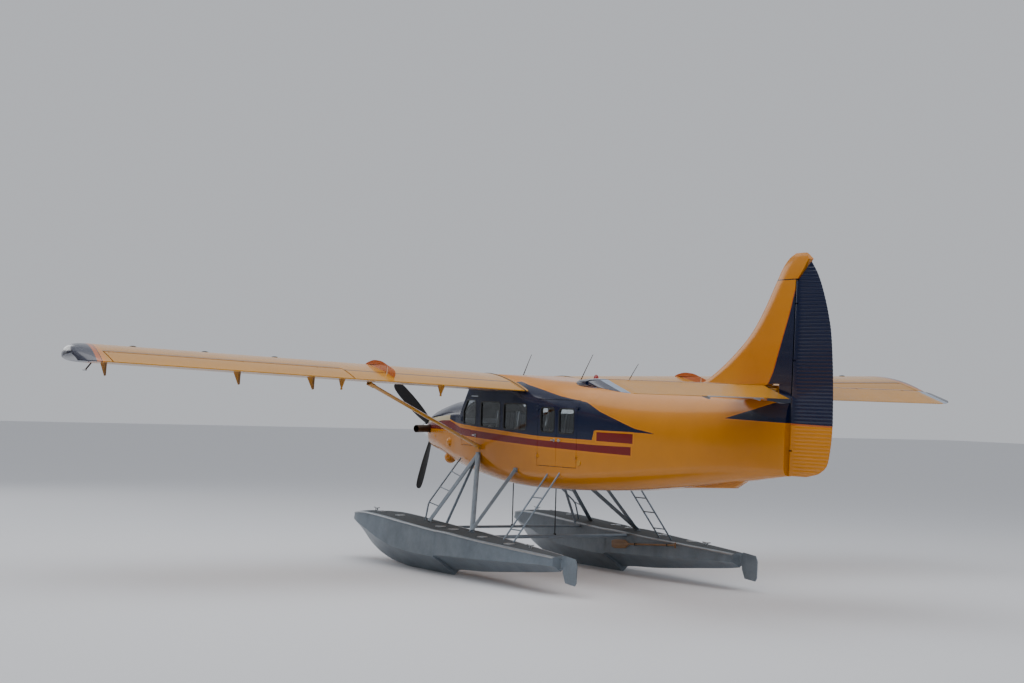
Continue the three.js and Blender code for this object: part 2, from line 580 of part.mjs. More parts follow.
// Heights well below and above the rudder, and how far ahead of its axis the cut for it reaches
const AXIS_LOW = -1600;
const AXIS_HIGH = 2600;
const AXIS_AHEAD = 8;
const rudderClear = join(bar(rudderPoint(AXIS_LOW), rudderPoint(AXIS_HIGH), RUDDER_NOSE + RUNNING, 24),
  plate([[rudderAxis(AXIS_LOW) - AXIS_AHEAD, AXIS_LOW], [rudderAxis(AXIS_HIGH) - AXIS_AHEAD, AXIS_HIGH],
    [FAR, AXIS_HIGH], [FAR, AXIS_LOW]], -600, 600));
const tailRows = rowsBetween(CABIN_END_Y, 8400);
const tailInner = [
  rowAt(CABIN_ROWS, CABIN_END_Y - 20), ...rowsBetween(4000, 7850), rowAt(CABIN_ROWS, 7900),
];
const tailHoles = cut(fuselageLoft(tailRows, 0), fuselageLoft(tailInner, TAIL_SKIN), rudderClear);

const RUDDER_ARM = { half: 9, radius: 24, web: 14, reach: 130 };
const hingeArm = (z) => {
  const y = rudderAxis(z);
  const { half, radius, web, reach } = RUDDER_ARM;
  return join(bar(point(0, y, z - half), point(0, y, z + half), radius, 16),
    box(-web, web, y - reach, y, z - half, z + half));
};
piece('tail_cone', join(tailHoles, hingeArm(RUDDER_HINGES[0])), YELLOW);

const STRAKE = { outline: [[5200, -1470], [7020, -1384], [7340, -1240], [5200, -1400]], half: 55 };
piece('ventral_strake', cut(plate(STRAKE.outline, -STRAKE.half, STRAKE.half), hullSeat), YELLOW);

// Tailplane and elevators
const tipRound = (x) => {
  const reach = Math.max(0, (Math.abs(x) - TAIL.tipFrom) / (TAIL.tipX - TAIL.tipFrom));
  return 1 - Math.sqrt(Math.max(0, 1 - reach * reach));
};
const TAIL_TIP = { leading: 560, trailing: 420, thin: 0.8, most: 0.93 };
const TAIL_STATIONS = [-3220, -3195, -3120, -2980, -2740, 2740, 2980, 3120, 3195, 3220];
const TAIL_PROFILE = [
  // share of the chord, half thickness
  [0, 0], [0.015, 22], [0.06, 42], [0.16, 62], [0.3, 72], [0.52, 62], [1, 5],
];
function tailRing(x) {
  const round = Math.min(tipRound(x), TAIL_TIP.most);
  const leading = TAIL.leadingY + TAIL_TIP.leading * round;
  const trailing = TAIL.trailingY - TAIL_TIP.trailing * round;
  const thin = 1 - TAIL_TIP.thin * round;
  const upper = TAIL_PROFILE.map(([share, half]) =>
    point(x, leading + share * (trailing - leading), TAIL.z + half * thin));
  const lower = TAIL_PROFILE.slice(1).reverse().map(([share, half]) =>
    point(x, leading + share * (trailing - leading), TAIL.z - half * thin));
  return [...upper, ...lower];
}
const tailWhole = loft(TAIL_STATIONS.map(tailRing), 'x');
const tailAxis = (x0, x1, radius) => pinAlongX(x0, x1, TAIL.hingeY, TAIL.z, radius, 20);
const aftOfTailHinge = box(-3300, 3300, TAIL.hingeY - 8, FAR, -200, 500);
const elevatorClear = join(tailAxis(-3300, 3300, TAIL.noseRadius + RUNNING), aftOfTailHinge);
const TAIL_EYE = { half: 8, radius: 24, web: 14, reach: 90 };
const tailEye = (x) => join(
  pinAlongX(x - TAIL_EYE.half, x + TAIL_EYE.half, TAIL.hingeY, TAIL.z, TAIL_EYE.radius, 12),
  box(x - TAIL_EYE.half, x + TAIL_EYE.half, TAIL.hingeY - TAIL_EYE.reach, TAIL.hingeY,
    TAIL.z - TAIL_EYE.web, TAIL.z + TAIL_EYE.web));
const tailSides = TAIL_HINGES.flatMap((x) => [x, -x]);
piece('tailplane', join(cut(tailWhole, elevatorClear), tailSides.map(tailEye)), YELLOW);

const TORQUE_TUBE_RADIUS = 20;
for (const [name, side] of [['elevator_port', 1], ['elevator_starboard', -1]]) {
  const region = join(tailAxis(TAIL.elevatorInner, 3300, TAIL.noseRadius),
    box(TAIL.elevatorInner, 3300, TAIL.hingeY, FAR, -200, 500));
  const notches = TAIL_HINGES.map((x) =>
    box(x - TAIL_EYE.half - SEAT, x + TAIL_EYE.half + SEAT, TAIL.hingeY - TAIL_EYE.reach,
      TAIL.hingeY + TAIL_EYE.radius + 10, 0, 300));
  const skin = cut(tailWhole.intersect(region), notches);
  const tube = tailAxis(SEAT / 2, TAIL.elevatorInner + 1, TORQUE_TUBE_RADIUS);
  const drooped = join(skin, tube).translate([0, -TAIL.hingeY, -TAIL.z])
    .rotate([-TAIL.droop, 0, 0]).translate([0, TAIL.hingeY, TAIL.z]);
  piece(name, onSide(side, drooped), YELLOW);
}

// Fin: height, leading edge, half thickness
const FIN_ROWS = [
  [-60, 5300, 40], [30, 5420, 46], [190, 6010, 60], [340, 6360, 66], [590, 6800, 68], [960, 7300, 68],
  [1250, 7560, 66], [1760, 7915, 58], [1940, 8040, 50], [2080, 8190, 36], [2145, 8330, 20],
];
// Share of the nose's length, share of the half thickness
const FIN_SHARES = [[0, 0], [0.04, 0.42], [0.14, 0.74], [0.35, 1], [1, 1]];
const FIN = { trailingY: 8700, noseLength: 700, shortenedFrom: 2040, rearHalf: 56 };
function finRing([z, leading, half], trailing, rearHalf) {
  const nose = Math.min(FIN.noseLength, trailing - leading);
  const near = FIN_SHARES.map(([share, thick]) => [leading + share * nose, half * thick]);
  near[near.length - 1] = [Math.max(near[3][0] + 10, trailing), rearHalf];
  const far = near.slice(1).reverse();
  return [...near.map(([y, x]) => point(x, y, z)), ...far.map(([y, x]) => point(-x, y, z))];
}
const finBlade = loft(FIN_ROWS.map((row) => finRing(row,
  FIN.trailingY - Math.max(0, row[0] - FIN.shortenedFrom) * 1.2, Math.min(row[2], FIN.rearHalf))), 'z');
// Seam between fin and rudder above the hinge line, sloping up and aft
const SEAM_Z = 1740;
const aboveSeam = [[rudderAxis(AXIS_LOW) - AXIS_AHEAD, AXIS_LOW],
  [rudderAxis(SEAM_Z) - AXIS_AHEAD, SEAM_Z], [8560, 1885], [8668, 2040], [8900, 2060], [8900, AXIS_LOW]];
const finClear = join(bar(rudderPoint(AXIS_LOW), rudderPoint(SEAM_Z + 20), RUDDER_NOSE + RUNNING, 24),
  plate(aboveSeam, -300, 300));
const tailSeat = loft(TAIL_STATIONS.map((x) => tailRing(x).map((p) =>
  point(p.x * 1.001, p.y + (p.y < TAIL.hingeY ? -SEAT : SEAT), p.z + Math.sign(p.z - TAIL.z) * SEAT))), 'x');
const finBody = cut(finBlade, hullSeat, tailSeat, finClear, tailAxis(-300, 300, TAIL.noseRadius + RUNNING),
  box(-300, 300, TAIL.hingeY, TAIL.hingeY + 280, TAIL.z - 90, TAIL.z + 72 + RUNNING));
const finArms = RUDDER_HINGES.slice(1).map(hingeArm);
piece('fin', join(finBody, finArms), YELLOW);

// Rudder: height, trailing edge
const RUDDER_ROWS = [
  [-1128, 8700], [-1070, 8970], [-940, 9150], [-800, 9195], [-530, 9238], [-340, 9250], [320, 9232],
  [610, 9210], [960, 9168], [1290, 9080], [1610, 8955], [1840, 8830], [2000, 8700],
];
const RUDDER_LEAST = 90;  // least length behind the axis
const RUDDER_EDGE = 6;    // half thickness of the trailing edge
function rudderRing([z, trailing]) {
  const y = rudderAxis(z);
  const back = Math.max(trailing, y + RUDDER_LEAST);
  const arc = [-90, -120, -150, 180, 150, 120, 90].map((turn) =>
    point(RUDDER_NOSE * Math.sin(rad(turn)), y + RUDDER_NOSE * Math.cos(rad(turn)), z));
  return [...arc, point(RUDDER_EDGE, back, z), point(-RUDDER_EDGE, back, z)];
}
const rudderBlade = loft(RUDDER_ROWS.map(rudderRing), 'z');
const rudderTopCut = plate([
  [8000, 1728], [8452, 1728], [8586, 1872], [8760, 2100], [8760, 2400], [8000, 2400],
], -300, 300);
const rudderNotches = RUDDER_HINGES.map((z) => {
  const y = rudderAxis(z);
  const half = RUDDER_ARM.half + SEAT;
  return box(-100, 100, y - RUDDER_ARM.reach, y + RUDDER_ARM.radius + 10, z - half, z + half);
});
piece('rudder', cut(rudderBlade, rudderTopCut, rudderNotches), NAVY);

// Wing section: a cambered profile with a blunt trailing edge, as [y, z] points
const SECTION_SHARES = [0, 0.006, 0.022, 0.05, 0.1, 0.18, 0.3, 0.45, 0.6, 0.72, 0.86, 1];
function sectionPoint(share, upper) {
  const { chord, camber, camberAt, thickness, leadingZ } = WING;
  const line = share < camberAt
    ? (camber / camberAt ** 2) * (2 * camberAt * share - share ** 2)
    : (camber / (1 - camberAt) ** 2) * (1 - 2 * camberAt + 2 * camberAt * share - share ** 2);
  const half = 5 * thickness * (0.2969 * Math.sqrt(share) - 0.126 * share - 0.3516 * share ** 2
    + 0.2843 * share ** 3 - 0.1015 * share ** 4) + 0.002 * share;
  const z = leadingZ * (1 - share) + chord * (line + (upper ? half : -half));
  return [share * chord, z];
}
const wingSection = [
  ...SECTION_SHARES.map((share) => sectionPoint(share, true)),
  ...SECTION_SHARES.slice(1).reverse().map((share) => sectionPoint(share, false)),
];

// Everything on one wing is made level, then tilted up by the dihedral about the centreline.
const raised = (body, side) => onSide(side, body.rotate([0, -WING.dihedral, 0]));

const flapRegion = (from, to, clear) => plate([
  [FLAP.noseY + 15 - clear, -300], [FLAP.noseY - clear, 20], [FLAP.noseY + 10 - clear, 66 + clear],
  [FLAP.noseY + 45 - clear, 104 + clear], [FLAP.shroudY - 50, 128 + clear], [FLAP.shroudY, 140 + clear],
  [FLAP.shroudY + 8 - clear, 500], [FAR, 500], [FAR, -300],
], from, to);
const aileronAxis = (from, to, radius) => pinAlongX(from, to, AILERON.axisY, AILERON.axisZ, radius, 24);
const flapBay = flapRegion(FLAP.from - RUNNING, FLAP.to + 12.5, RUNNING);
const aileronBay = join(aileronAxis(FLAP.to + 12, WING.tipJoint + 10, AILERON.noseRadius + RUNNING),
  box(FLAP.to + 12, WING.tipJoint + 10, AILERON.axisY - 34, FAR, -300, 500));

// Flap carriers: a plate under the wing and an arm under the flap meet at a low pivot.
const PIVOT = { radius: 20, thickness: 12 };
function flapPlate(x) {
  const low = FLAP.axisZ;
  const outline = [[1020, 30], [1345, 20], [FLAP.axisY + 14, low - 14], [FLAP.axisY - 14, low - 14]];
  return join(plate(outline, x - PIVOT.thickness, x),
    pinAlongX(x - PIVOT.thickness, x, FLAP.axisY, low, PIVOT.radius));
}
function flapArm(x) {
  const low = FLAP.axisZ;
  const outline = [
    [FLAP.noseY + 30, 30], [FLAP.noseY + 330, 22], [FLAP.axisY + 14, low - 14], [FLAP.axisY - 10, low + 8],
  ];
  const near = x + SEAT;
  return join(plate(outline, near, near + PIVOT.thickness),
    pinAlongX(near, near + PIVOT.thickness, FLAP.axisY, low, PIVOT.radius));
}
const AILERON_EYE = { half: 8, radius: 26, web: 14, reach: 130 };
const aileronEye = (x) => join(aileronAxis(x - AILERON_EYE.half, x + AILERON_EYE.half, AILERON_EYE.radius),
  box(x - AILERON_EYE.half, x + AILERON_EYE.half, AILERON.axisY - AILERON_EYE.reach, AILERON.axisY,
    AILERON.axisZ - AILERON_EYE.web, AILERON.axisZ + AILERON_EYE.web));
// Small plate that hangs below each aileron hinge
const DROOP_PLATE = { outline: [[1090, 30], [1420, 22], [1405, -150], [1375, -160]], half: 6 };
const droopPlate = (x) => plate(DROOP_PLATE.outline, x - DROOP_PLATE.half, x + DROOP_PLATE.half);

// Fence: half an ellipse standing on the wing above the strut's head
const fenceOutline = Array.from({ length: 13 }, (_, i) => {
  const turn = (i / 12) * Math.PI;
  return [(FENCE.from + FENCE.to) / 2 - ((FENCE.to - FENCE.from) / 2) * Math.cos(turn),
    FENCE.baseZ + FENCE.height * Math.sin(turn)];
});
const fence = plate(fenceOutline, FENCE.x - FENCE.thickness / 2, FENCE.x + FENCE.thickness / 2)
  .intersect(box(0, FAR, -FAR, FLAP.noseY, -FAR, FAR));

const wingSkin = cut(plate(wingSection, WING.rootX, WING.tipJoint), flapBay, aileronBay);
const flap = plate(wingSection, FLAP.from, FLAP.to).intersect(flapRegion(FLAP.from - 1, FLAP.to + 1, 0));
const aileronRegion = join(aileronAxis(AILERON.from, AILERON.to, AILERON.noseRadius),
  box(AILERON.from, AILERON.to, AILERON.axisY, FAR, -300, 500));
const aileronNotches = AILERON_HINGES.map((x) =>
  box(x - AILERON_EYE.half - SEAT, x + AILERON_EYE.half + SEAT, AILERON.axisY - AILERON_EYE.reach,
    AILERON.axisY + AILERON_EYE.radius + 10, -200, 400));
const aileron = cut(plate(wingSection, AILERON.from, AILERON.to).intersect(aileronRegion), aileronNotches);

// Wing tip: the section drawn in towards a blunt, rounded end well aft of its middle
const TIP_CENTRE = 0.62;
const TIP_ROWS = [
  // share of the way out, chord left, thickness left
  [0, 1, 1], [0.3, 0.965, 0.97], [0.56, 0.89, 0.88], [0.77, 0.76, 0.72], [0.92, 0.56, 0.5], [1, 0.32, 0.22],
];
const wingLine = (share) => (sectionPoint(share, true)[1] + sectionPoint(share, false)[1]) / 2;
const wingTip = loft(TIP_ROWS.map(([out, chordLeft, thickLeft]) => {
  const x = WING.tipJoint + SEAT + out * (WING.tipX - WING.tipJoint - SEAT);
  const middle = WING.chord * TIP_CENTRE;
  return wingSection.map(([y, z]) => {
    const line = wingLine(Math.min(1, y / WING.chord));
    return point(x, middle + (y - middle) * chordLeft, line + (z - line) * thickLeft);
  });
}), 'x');

for (const [label, side] of [['port', 1], ['starboard', -1]]) {
  const carriers = [...FLAP_BRACKETS.map(flapPlate), ...AILERON_HINGES.map(aileronEye),
    ...AILERON_HINGES.map(droopPlate)];
  const wing = cut(raised(join(wingSkin, fence, carriers), 1), hullSeat);
  piece(`wing_${label}`, onSide(side, wing), YELLOW);
  piece(`flap_${label}`, raised(join(flap, FLAP_BRACKETS.map(flapArm)), side), YELLOW);
  piece(`aileron_${label}`, raised(aileron, side), YELLOW);
  piece(`wing_tip_${label}`, raised(wingTip, side), NAVY);
}

// Wing struts, from a fitting low on the cabin to the underside of the wing
const strutFoot = point(...WING_STRUT.foot);
const strutSpan = point(...WING_STRUT.top).sub(strutFoot);
const alongStrut = (share) => strutFoot.clone().addScaledVector(strutSpan, share);
const STRUT_FITTING = { inner: 30, outer: 60, fore: 60, aft: 70, below: 50, above: 40 };
const strutFitting = box(strutFoot.x - STRUT_FITTING.inner, strutFoot.x + STRUT_FITTING.outer,
  strutFoot.y - STRUT_FITTING.fore, strutFoot.y + STRUT_FITTING.aft,
  strutFoot.z - STRUT_FITTING.below, strutFoot.z + STRUT_FITTING.above);
const wingSeat = raised(plate(grown(wingSection.toReversed(), SEAT), 700, 5000), 1);
const wingStrut = cut(join(
  bar(alongStrut(-0.012), alongStrut(1.04), WING_STRUT.chord / 2, 12, WING_STRUT.thickness / 2),
  strutFitting), hullSeat, wingSeat);
for (const [label, side] of [['port', 1], ['starboard', -1]]) {
  piece(`wing_strut_${label}`, onSide(side, wingStrut), YELLOW);
}

// Floats: station, deck height, deck half width, chine height, chine half width, keel height
const FLOAT_ROWS = [
  [-2400, -2436, 60, -2484, 72, -2520],
  [-2330, -2392, 150, -2462, 165, -2600],
  [-2150, -2340, 255, -2475, 272, -2745],
  [-1850, -2312, 325, -2520, 345, -2905],
  [-1400, -2298, 368, -2610, 392, -3055],
  [-800, -2318, 390, -2745, 420, -3160],
  [-100, -2358, 395, -2845, 430, -3200],
  [700, -2400, 392, -2880, 430, -3200],
  [1350, -2432, 385, -2890, 425, -3200],
  [1352, -2432, 385, -2862, 420, -3118],
  [2500, -2486, 350, -2815, 382, -3040],
  [3700, -2544, 270, -2770, 296, -2935],
  [4720, -2592, 165, -2735, 182, -2838],
  [4840, -2600, 140, -2735, 152, -2820],
];
const DECK_CROWN = 22;
const SPRAY_RAIL = 14;
const KEEL_HALF_WIDTH = 14;
function floatRing([y, deckZ, deckHalf, chineZ, chineHalf, keelZ]) {
  const half = [
    [0, deckZ + DECK_CROWN], [deckHalf * 0.72, deckZ + DECK_CROWN * 0.7], [deckHalf * 0.94, deckZ],
    [deckHalf, deckZ - 22], [chineHalf, chineZ + SPRAY_RAIL], [chineHalf * 0.98, chineZ],
    [chineHalf * 0.5, (chineZ + keelZ) / 2 + SPRAY_RAIL], [KEEL_HALF_WIDTH, keelZ],
  ];
  const port = half.map(([x, z]) => point(FLOAT_X + x, y, z));
  const starboard = half.slice(1).reverse().map(([x, z]) => point(FLOAT_X - x, y, z));
  return [...port, ...starboard];
}
const floatHull = loft(FLOAT_ROWS.map(floatRing), 'y');

// Float gear: fittings on the fuselage and on the float, as [x, y, z]
const GEAR = {
  fore: [812, 390, -1140], aft: [812, 1740, -1355],
  footFore: [1712, 290, -2352], footAft: [1712, 1870, -2408], inner: [1400, 300, -2470],
};
const gearPoint = (name, dx = 0, dy = 0, dz = 0) =>
  point(GEAR[name][0] + dx, GEAR[name][1] + dy, GEAR[name][2] + dz);
const strutBar = (from, to, chord, thickness) => bar(from, to, chord / 2, 10, thickness / 2);
const floatSeat = loft(FLOAT_ROWS.map((row) => floatRing(row).map((p) =>
  point(p.x + Math.sign(p.x - FLOAT_X) * SEAT, p.y, p.z + Math.sign(p.z + 2700) * SEAT * 1.5))), 'y');
// Front ladder: one rail bent near its foot, its rungs carried by the fore strut
const FRONT_RAIL = { top: [770, -330, -1235], bend: [1560, -40, -2035], foot: [1640, -10, -2380] };
const RAIL_RADIUS = 15;
const RUNG_RADIUS = 11;
const railPoint = (name) => point(...FRONT_RAIL[name]);
const FRONT_RUNGS = [
  // share of the rail down from its top, share of the strut
  [0.3, 0.34], [0.65, 0.56], [0.99, 0.78],
];
const frontLadder = [
  bar(railPoint('top'), railPoint('bend'), RAIL_RADIUS, 6),
  bar(railPoint('bend'), railPoint('foot'), RAIL_RADIUS, 6),
  ...FRONT_RUNGS.map(([onRail, onStrut]) => bar(railPoint('top').lerp(railPoint('bend'), onRail),
    gearPoint('fore').lerp(gearPoint('footFore'), onStrut), RUNG_RADIUS, 6)),
];
// Fitting round the end of a strut: reach of its block each way from the gear point
const fitting = (name, x0, x1, y0, y1, z0, z1) => {
  const [x, y, z] = GEAR[name];
  return box(x + x0, x + x1, y + y0, y + y1, z + z0, z + z1);
};
const gearSet = cut(join(
  strutBar(gearPoint('fore'), gearPoint('footFore', 0, 0, -60), 92, 46),
  strutBar(gearPoint('fore'), gearPoint('footAft', 0, 0, -60), 92, 46),
  strutBar(gearPoint('aft'), gearPoint('footAft', 0, -30, -60), 78, 40),
  strutBar(gearPoint('fore'), gearPoint('inner', 0, 0, -20), 60, 34),
  frontLadder,
  fitting('fore', -40, 22, -50, 60, -45, 40),
  fitting('aft', -40, 20, -45, 45, -40, 35),
  fitting('footFore', -40, 40, -55, 55, -66, -12),
  fitting('footAft', -40, 40, -75, 40, -66, -4),
), hullSeat, floatSeat);
// Rear ladder: two straight rails from the fuselage to the float's deck
const REAR_RAILS = [2720, 3070];
const REAR_RAIL = { topX: 700, topZ: -1310, footX: 1640, footZ: -2560, footAft: 15 };
const REAR_RUNGS = [0.37, 0.57, 0.8];
const rearPoint = (y, share) => point(
  THREE.MathUtils.lerp(REAR_RAIL.topX, REAR_RAIL.footX, share), y + share * REAR_RAIL.footAft,
  THREE.MathUtils.lerp(REAR_RAIL.topZ, REAR_RAIL.footZ, share));
const rearLadder = cut(join(
  REAR_RAILS.map((y) => bar(rearPoint(y, 0), rearPoint(y, 1), RAIL_RADIUS, 6)),
  REAR_RUNGS.map((share) =>
    bar(rearPoint(REAR_RAILS[0], share), rearPoint(REAR_RAILS[1], share), RUNG_RADIUS, 6)),
), hullSeat, floatSeat);

// Water rudder: a plate on an upright post between two lugs on the float's stern
const WATER_RUDDER = { axisY: 4880, post: 14, lug: 22, plate: 9 };
const STERN_Y = FLOAT_ROWS.at(-1)[0];
const LUGS = [[-2648, -2624], [-2790, -2766]];
const LUG_ARM = { half: 16, root: 20 };
const WATER_OUTLINE = [
  // distance aft of the post's axis, height
  [6, -2740], [6, -2668], [30, -2652], [30, -2590], [60, -2560], [400, -2590], [450, -2680],
  [440, -2960], [400, -3010], [120, -2990], [46, -2850], [36, -2752],
];
const rudderPost = (z0, z1, radius) =>
  bar(point(FLOAT_X, WATER_RUDDER.axisY, z0), point(FLOAT_X, WATER_RUDDER.axisY, z1), radius, 12);
const sternLugs = LUGS.map(([low, high]) => join(rudderPost(low, high, WATER_RUDDER.lug),
  box(FLOAT_X - LUG_ARM.half, FLOAT_X + LUG_ARM.half, STERN_Y - LUG_ARM.root, WATER_RUDDER.axisY,
    low, high)));
const waterRudder = join(
  rudderPost(LUGS[1][1] + SEAT, LUGS[0][0] - SEAT, WATER_RUDDER.post),
  plate(WATER_OUTLINE.map(([aft, z]) => [WATER_RUDDER.axisY + aft, z]),
    FLOAT_X - WATER_RUDDER.plate, FLOAT_X + WATER_RUDDER.plate));
for (const [label, side] of [['port', 1], ['starboard', -1]]) {
  piece(`float_${label}`, onSide(side, join(floatHull, sternLugs)), FLOAT_GREY);
  piece(`float_struts_${label}`, onSide(side, gearSet), STRUT_GREY);
  piece(`rear_ladder_${label}`, onSide(side, rearLadder), STRUT_GREY);
  piece(`water_rudder_${label}`, onSide(side, waterRudder), FLOAT_GREY);
}
// Spreader bars between the floats: name, station, height, radius
const SPREADERS = [['spreader_fore', 470, -2440, 24], ['spreader_aft', 1990, -2500, 32]];
for (const [name, y, z, radius] of SPREADERS) {
  const through = bar(point(-FLOAT_X, y, z), point(FLOAT_X, y, z), radius, 12);
  piece(name, cut(through, floatSeat, mirrorX(floatSeat)), STRUT_GREY);
}

export default model;
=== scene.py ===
import math

import bmesh
import bpy
import numpy as np
from mathutils import Matrix, Vector


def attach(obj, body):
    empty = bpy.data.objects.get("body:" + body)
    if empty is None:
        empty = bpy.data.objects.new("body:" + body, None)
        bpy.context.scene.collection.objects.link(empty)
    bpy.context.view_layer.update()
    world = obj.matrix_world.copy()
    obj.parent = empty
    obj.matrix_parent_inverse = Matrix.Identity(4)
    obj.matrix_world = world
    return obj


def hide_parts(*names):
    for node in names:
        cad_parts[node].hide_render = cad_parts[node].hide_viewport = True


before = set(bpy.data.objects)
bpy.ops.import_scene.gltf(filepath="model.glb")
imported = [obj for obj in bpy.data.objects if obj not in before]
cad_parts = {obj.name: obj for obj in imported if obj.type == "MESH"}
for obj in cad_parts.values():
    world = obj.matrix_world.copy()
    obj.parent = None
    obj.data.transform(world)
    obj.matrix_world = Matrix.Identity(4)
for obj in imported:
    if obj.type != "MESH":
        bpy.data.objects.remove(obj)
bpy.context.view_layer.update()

# Camera: on the shore off the port quarter, level with the wing and looking a little up.
# Its place and turn are the photograph's, as fitted to the aircraft's known sizes.
CAMERA_PLACE = (17.65, 27.44, 3.074)
CAMERA_TURN = np.array([(-0.8635, 0.5034, 0.0303), (0.0414, 0.0109, 0.9991), (0.5026, 0.864, -0.0302)]).T
camera = bpy.data.objects.new("camera", bpy.data.cameras.new("camera"))
camera.data.lens = 66.94
camera.data.sensor_width = 36.0
camera.data.clip_end = 400.0
camera.matrix_world = Matrix.Translation(CAMERA_PLACE) @ Matrix(CAMERA_TURN.tolist()).to_4x4()
bpy.context.scene.collection.objects.link(camera)
bpy.context.scene.camera = camera


# Studio: a pale matt floor under a pale surround, a wide softbox overhead and three at the sides. What
# the paint mirrors is darker at the horizon than overhead, so that tops shine and sides stay deep.
def linear(colour):
    """Linear RGBA of an sRGB hex colour: c / 12.92 below 0.04045, else ((c + 0.055) / 1.055) ^ 2.4."""
    share = [int(colour[i:i + 2], 16) / 255 for i in (1, 3, 5)]
    return tuple(c / 12.92 if c <= 0.04045 else ((c + 0.055) / 1.055) ** 2.4 for c in share) + (1.0,)


def feed(node, inputs):
    """Fills inputs, by name or number, with values, outputs or nodes, of which the first output counts."""
    for socket, value in dict(inputs).items():
        value = value.outputs[0] if isinstance(value, bpy.types.Node) else value
        if isinstance(value, bpy.types.NodeSocket):
            node.id_data.links.new(value, node.inputs[socket])
        else:
            node.inputs[socket].default_value = value
    return node


def add_node(tree, kind, inputs=(), **settings):
    """One shader node with its settings and its inputs fed."""
    node = tree.nodes.new("ShaderNode" + kind)
    for name, value in settings.items():
        setattr(node, name, value)
    return feed(node, inputs)


def new_material(name):
    """A new material, its node tree, and the node of its surface, which is fed later."""
    material = bpy.data.materials.new(name)
    material.use_nodes = True
    tree = material.node_tree
    tree.nodes.clear()
    surface = add_node(tree, "BsdfPrincipled")
    add_node(tree, "OutputMaterial", {"Surface": surface})
    return material, tree, surface


FLOOR_SIZE = 260.0
HORIZON, OVERHEAD, BACKDROP = 0.14, 0.85, 0.75
AHEAD = (-0.50, -0.87, 0.0)
SOFTBOXES = [
    # name, place, looks at, width, depth, power in watts
    ("overhead", (3, 0, 15), (0, 0, 3), 26, 20, 2000), ("key", (22, 20, 12), (0, 2, 2.5), 16, 9, 1100),
    ("fill", (-24, 12, 9), (0, 2, 2.5), 14, 8, 600), ("nose_side", (10, -26, 10), (0, -2, 2.5), 16, 8, 700),
]
world = bpy.data.worlds.new("pale_surround")
bpy.context.scene.world = world
world.use_nodes = True
sky = world.node_tree
sky.nodes.clear()
way = add_node(sky, "TexCoord").outputs["Generated"]
up = add_node(sky, "SeparateXYZ", {0: way}).outputs[2]
ahead = add_node(sky, "VectorMath", {0: way, 1: AHEAD}, operation="DOT_PRODUCT").outputs["Value"]
glow, front = (add_node(sky, "MapRange", {"Value": value, "From Min": start, "From Max": end, "To Min": HORIZON,
                                          "To Max": OVERHEAD}, interpolation_type="SMOOTHSTEP")
               for value, start, end in ((up, 0.05, 0.75), (ahead, 0.72, 0.97)))
path = add_node(sky, "LightPath").outputs
seen = add_node(sky, "Math", {0: path["Is Camera Ray"], 1: path["Is Transmission Ray"]}, operation="MAXIMUM")
most = add_node(sky, "Math", {0: glow, 1: front}, operation="MAXIMUM")
strength = add_node(sky, "Mix", {0: seen, 2: most, 3: BACKDROP})
back = add_node(sky, "Background", {"Color": linear("#dfe2e8"), "Strength": strength})
add_node(sky, "OutputWorld", {"Surface": back})
bpy.ops.mesh.primitive_plane_add(size=FLOOR_SIZE, location=(0, 0, 0))
floor = bpy.context.object
floor.name = "studio_floor"
floor_paint, tree, surface = new_material("matt_floor_paint")
feed(surface, {"Base Color": linear("#dcdde0"), "Roughness": 0.85})
floor.data.materials.append(floor_paint)
for name, location, target, width, depth, watts in SOFTBOXES:
    light = bpy.data.objects.new(name, bpy.data.lights.new(name, "AREA"))
    light.data.shape = "RECTANGLE"
    light.data.size, light.data.size_y, light.data.energy = width, depth, watts
    light.visible_camera = False
    light.location = location
    light.rotation_euler = (Vector(target) - light.location).to_track_quat("-Z", "Y").to_euler()
    bpy.context.scene.collection.objects.link(light)


# Fuselage shell: riveted aluminium panels over frames, painted with glossy enamel. Its skin is one
# surface; walls, roof, belly, doors and windscreen frame are cut from it where the real panels meet.
DATUM = np.array([0.0, -2.990, 3.200])
SIDES = (("port", 1), ("starboard", -1))
FAR = 12.0
SEAT = 0.0003
WALL = 0.045
FIREWALL_Y, CABIN_END_Y = -0.800, 3.900
CEILING_Z, BELLY_Z = -0.050, -1.342
ROOF_Y, ROOF_Z = 1.985, -0.095
CABIN_ROWS = np.array([
    # station, half width, bottom, top, bottom corner, top corner across, top corner down
    [-0.8, 0.650, -1.375, 0.078, 0.230, 0.060, 0.060], [-0.3, 0.735, -1.440, 0.084, 0.240, 0.060, 0.060],
    [-0.02, 0.770, -1.475, 0.108, 0.245, 0.060, 0.060], [0.06, 0.777, -1.485, 0.180, 0.245, 0.060, 0.060],
    [0.25, 0.790, -1.505, 0.262, 0.250, 0.060, 0.060], [0.48, 0.800, -1.530, 0.302, 0.250, 0.060, 0.060],
    [0.72, 0.800, -1.560, 0.316, 0.250, 0.080, 0.080], [1.1, 0.800, -1.600, 0.306, 0.250, 0.180, 0.180],
    [1.5, 0.800, -1.625, 0.284, 0.250, 0.310, 0.310], [1.985, 0.795, -1.638, 0.252, 0.255, 0.430, 0.430],
    [2.6, 0.770, -1.636, 0.222, 0.265, 0.470, 0.480], [3.25, 0.722, -1.622, 0.190, 0.285, 0.500, 0.540],
    [3.9, 0.660, -1.594, 0.156, 0.305, 0.520, 0.600], [4.7, 0.575, -1.540, 0.116, 0.320, 0.510, 0.660],
    [5.5, 0.482, -1.465, 0.076, 0.320, 0.455, 0.700], [6.3, 0.385, -1.380, 0.040, 0.300, 0.375, 0.710],
    [7.1, 0.288, -1.288, 0.006, 0.250, 0.284, 0.690], [7.8, 0.196, -1.200, -0.024, 0.175, 0.194, 0.640],
    [8.3, 0.108, -1.138, -0.046, 0.100, 0.107, 0.560],
])


